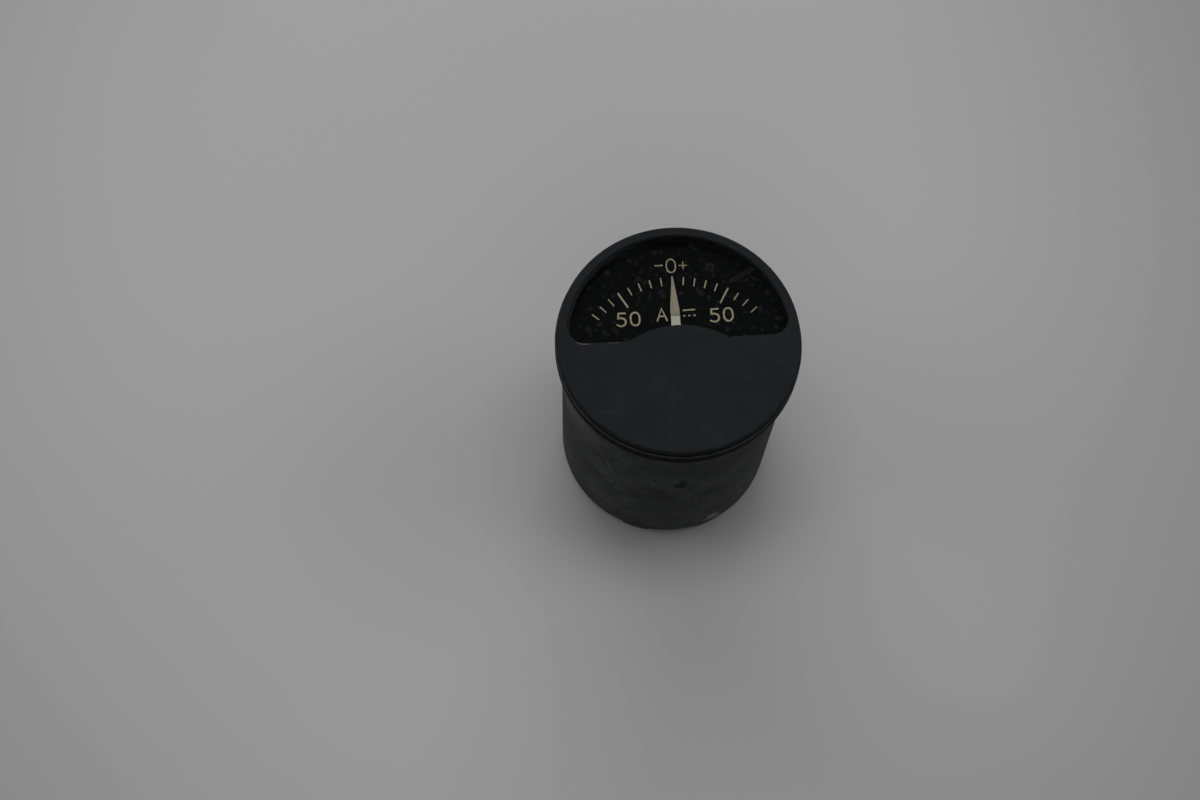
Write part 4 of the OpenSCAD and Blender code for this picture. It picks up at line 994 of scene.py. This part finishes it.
# Materials by slot
BY_SLOT = {
    "case_paint": black_paint(
        "case_enamel", (0.0215, 0.0228, 0.0222), (0.088, 0.095, 0.09), rough=0.55, ior=1.1, dusty=0.55,
        seed=3.1, marks=case_marks, worn_rings=[(CASE_R, rim_z, 0.7), (CASE_R - 0.05, ring_low, 0.25)],
        worn_colour=(0.07, 0.072, 0.066)),
    "ring_paint": black_paint(
        "ring_enamel", (0.0055, 0.0056, 0.0059), (0.011, 0.011, 0.011), rough=0.55, ior=1.06, dusty=0.15,
        seed=9.4, marks=ring_marks),
    "mask_paint": black_paint(
        "front_enamel", (0.0052, 0.0058, 0.0066), (0.02, 0.021, 0.022), rough=0.62, ior=1.15, dusty=0.25,
        seed=5.7, marks=front_marks, worn_rings=[(mask_r - 0.1, face_z - 0.05, 0.2)],
        worn_colour=(0.02, 0.021, 0.023)),
    "dial_paint": black_paint(
        "dial_black", (0.0009, 0.001, 0.0011), (0.0045, 0.0042, 0.0053), rough=0.75, ior=1.1, dusty=0.35,
        seed=1.9, marks=dial_age),
    "black_steel": black_paint(
        "blackened_steel", (0.03, 0.031, 0.031), (0.055, 0.052, 0.047), rough=0.5, ior=1.3, dusty=0.4,
        seed=7.7),
    "gasket": plain_solid(
        "gasket_rubber", (0.006, 0.006, 0.0062), (0.01, 0.0098, 0.0095), rough=0.85, gloss=0.15),
    "moulding": plain_solid(
        "base_moulding", (0.011, 0.0095, 0.0085), (0.02, 0.015, 0.012), rough=0.42, gloss=0.45,
        grain=1.0, seed=4.0),
    "insulation": plain_solid(
        "insulating_board", (0.035, 0.018, 0.01), (0.06, 0.03, 0.016), rough=0.55, gloss=0.4,
        grain=1.4, seed=2.0, stripes=(1.0, 1.0, 3.0)),
    "wire_insulation": plain_solid(
        "red_sleeving", (0.12, 0.02, 0.016), (0.17, 0.035, 0.025), rough=0.7, gloss=0.25,
        grain=2.5, seed=1.0),
    "black_insulation": plain_solid(
        "black_sleeving", (0.015, 0.018, 0.021), (0.03, 0.034, 0.038), rough=0.7, gloss=0.25,
        grain=2.5, seed=6.0),
    "jewel": plain_solid("ruby", (0.35, 0.03, 0.06), (0.45, 0.05, 0.09), rough=0.15, gloss=0.7),
    "steel": metal(
        "screw_steel", (0.5, 0.48, 0.44), (0.2, 0.15, 0.1), rough=0.36, pitted=0.1, seed=2.2,
        brushed=(8, 1, 8)),
    "staff_steel": metal(
        "polished_steel", (0.6, 0.6, 0.62), (0.4, 0.38, 0.35), rough=0.18, pitted=0.0, seed=1.2,
        brushed=(2, 2, 14)),
    "soft_iron": metal(
        "soft_iron_faces", (0.4, 0.39, 0.36), (0.22, 0.17, 0.13), rough=0.42, pitted=0.1, seed=8.3,
        brushed=(1, 1, 9)),
    "magnet_steel": metal(
        "magnet_casting", (0.2, 0.205, 0.22), (0.11, 0.1, 0.1), rough=0.55, pitted=0.6, seed=3.9),
    "cast_alloy": metal(
        "cast_plate", (0.55, 0.54, 0.51), (0.33, 0.31, 0.28), rough=0.5, pitted=0.5, seed=6.6),
    "brass": metal(
        "old_brass", (0.52, 0.36, 0.13), (0.2, 0.13, 0.06), rough=0.34, pitted=0.05, seed=4.8,
        brushed=(7, 7, 1)),
    "tinned_brass": metal(
        "tinned_brass_faces", (0.5, 0.47, 0.4), (0.3, 0.24, 0.14), rough=0.38, pitted=0.05, seed=5.1,
        brushed=(5, 5, 1)),
    "spring_bronze": metal(
        "spring_strip", (0.62, 0.42, 0.15), (0.35, 0.2, 0.1), rough=0.22, pitted=0.0, seed=2.9),
    "resistance_alloy": metal(
        "resistance_strip", (0.5, 0.28, 0.17), (0.25, 0.14, 0.1), rough=0.36, pitted=0.0, seed=3.3,
        brushed=(1, 9, 9)),
    "former_alloy": metal(
        "former_strip", (0.68, 0.68, 0.67), (0.45, 0.44, 0.42), rough=0.3, pitted=0.0, seed=7.0,
        brushed=(1, 1, 8)),
    "enamelled_wire": wound_wire("enamelled_turns", (0.33, 0.1, 0.03), (0.08, 0.025, 0.012), pitch=0.14),
    "mark_paint": aged_paint(
        "mark_cream", (0.318, 0.275, 0.188), (0.21, 0.172, 0.11), rough=0.65, seed=3.0, stained=0.35),
    "pointer_paint": aged_paint(
        "pointer_cream", (0.255, 0.222, 0.163), (0.17, 0.142, 0.1), rough=0.55, seed=6.0, stained=0.55,
        white=(0.41, 0.405, 0.362), white_below=6.75),
    "window": window_film(),
}
for part in frame["record"]["subparts"]:
    materials = frame["nodes"][part["node"]].data.materials
    materials.clear()
    materials.append(BY_SLOT[part["material_slot"]])


# Pieces made here
def place(name, mesh, slot, node=None, sharp=32.0):
    """A piece on the root body with its slot's finish; it stands for a node if one is named."""
    piece = mesh_object(name, *mesh, sharp=sharp)
    piece.data.materials.append(BY_SLOT[slot])
    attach(piece, "root")
    if node:
        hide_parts(node)


place("front_face", front_mesh(), "mask_paint", "front_mask")
place("ring_shell", ring_mesh(), "ring_paint", "retaining_ring")
place("window_pane", glass_mesh(), "window", "window_glass")
place("dial_marks", marks_mesh(), "mark_paint", "scale_marks")
place("dial_figures", figures_mesh(), "mark_paint")
studs = joined([stud_mesh(-stud_x, 0.3), stud_mesh(stud_x, 0.8)])
place("stud_pair", studs, "brass", "terminal_studs")
for name, node in (("nut_pair_inner", "clamp_nuts"), ("nut_pair_outer", "terminal_nuts")):
    nuts = joined([nut_mesh(node, x) for x in (-stud_x, stud_x)])
    place(name, nuts, "brass", node, sharp=20)
washers = joined([washer_mesh("stud_washers", x) for x in (-stud_x, stud_x)])
place("washer_pair", washers, "tinned_brass", "stud_washers")

# Floor, lamps and camera
FLOOR_R = 1400
SWEEP_R = 400
WALL_TOP = 1300
# The floor's painted light: its brightest place, the middle of its painted shadow round the meter, and the
# colour of its painted shade
FLOOR_BRIGHTEST = (-30.0, 60.0, 0.0)
FLOOR_SHADOW_AT = (-4.0, -4.0, 0.0)
FLOOR_SHADE = (0.19, 0.189, 0.189)


def floor_paper():
    """Pale paper with painted light: it darkens away from a painted bright place, as light falls off
    towards the edges, and a painted shadow darkens it close round the meter.
    """
    mat = Surface("floor_paper")
    at = mat.point()
    fine = mat.noise(at, 0.9, 4.0)
    base = mat.mix(mat.noise(at, 0.004, 3.0), (0.304, 0.3, 0.303), (0.322, 0.317, 0.32))
    base = mat.mix(mat.times(fine, 0.12), base, (0.272, 0.268, 0.27))
    # Painted falloff of light away from the brightest place
    away = mat.vector("SUBTRACT", at, FLOOR_BRIGHTEST)
    away = mat.length(mat.vector("MULTIPLY", away, (1.0, 0.8, 0.0)))
    base = mat.mix(mat.step(away, 80.0, 260.0), base, FLOOR_SHADE)
    # Painted shadow close round the meter
    near = mat.distance(at, FLOOR_SHADOW_AT)
    base = mat.mix(mat.fall(near, 30.0, 100.0, 0.24), base, FLOOR_SHADE)
    values = {"Base Color": base, "Roughness": 0.9, "Specular IOR Level": 0.1}
    return mat.finished(values, [(fine, 0.1, 0.03)])


sweep = [(0, 0), (300, 0), (FLOOR_R, 0)]
for degrees in range(6, 91, 6):
    a = math.radians(degrees)
    sweep.append((FLOOR_R + SWEEP_R * math.sin(a), SWEEP_R - SWEEP_R * math.cos(a)))
sweep.append((FLOOR_R + SWEEP_R, WALL_TOP))
floor = mesh_object("floor", *lathe(sweep, 96, closed=False), sharp=60)
floor.data.materials.append(floor_paper())


def softbox(name, at, aim, wide, tall, power):
    """A soft lamp at a place, facing the aim."""
    data = bpy.data.lights.new(name, "AREA")
    data.shape = "RECTANGLE"
    data.size = wide
    data.size_y = tall
    data.energy = power
    lamp = bpy.data.objects.new(name, data)
    lamp.location = at
    lamp.rotation_mode = "QUATERNION"
    lamp.rotation_quaternion = (Vector(aim) - Vector(at)).to_track_quat("-Z", "Y")
    lamp.visible_camera = False
    bpy.context.scene.collection.objects.link(lamp)


centre = (0, 0, 0.04)
softbox("lamp_top", (0.0, 0.08, 0.8), centre, 0.5, 0.2, 3.1)
softbox("lamp_back", (-0.1, 1.0, 0.75), centre, 1.2, 0.5, 8.5)
softbox("lamp_left", (-0.85, 0.1, 0.6), centre, 0.6, 0.5, 2.1)
softbox("lamp_right", (0.85, 0.1, 0.6), centre, 0.6, 0.5, 2.3)
softbox("lamp_front", (-0.1, -0.95, 0.75), centre, 1.0, 0.4, 2.15)

world = bpy.data.worlds.new("studio")
world.use_nodes = True
background = world.node_tree.nodes["Background"]
background.inputs[0].default_value = (0.6, 0.62, 0.65, 1.0)
background.inputs[1].default_value = 0.08
bpy.context.scene.world = world

# The camera stands where the photograph's ellipses of the face, the ring and the rear rim put it
eye = Vector((-30.77, -134.04, face_z + 323.59)) * MM
up = Vector((0.05096, 0.93492, 0.35117))
back = Vector((-0.03836, -0.34953, 0.93614))
right = up.cross(back)
camera_data = bpy.data.cameras.new("camera")
camera_data.lens = 50
camera_data.sensor_width = 36
camera_data.clip_start = 0.01
camera_data.clip_end = 20
camera = bpy.data.objects.new("camera", camera_data)
camera.matrix_world = Matrix.Translation(eye) @ Matrix((right, up, back)).transposed().to_4x4()
bpy.context.scene.collection.objects.link(camera)
bpy.context.scene.camera = camera
bpy.context.scene.view_settings.view_transform = "Standard"
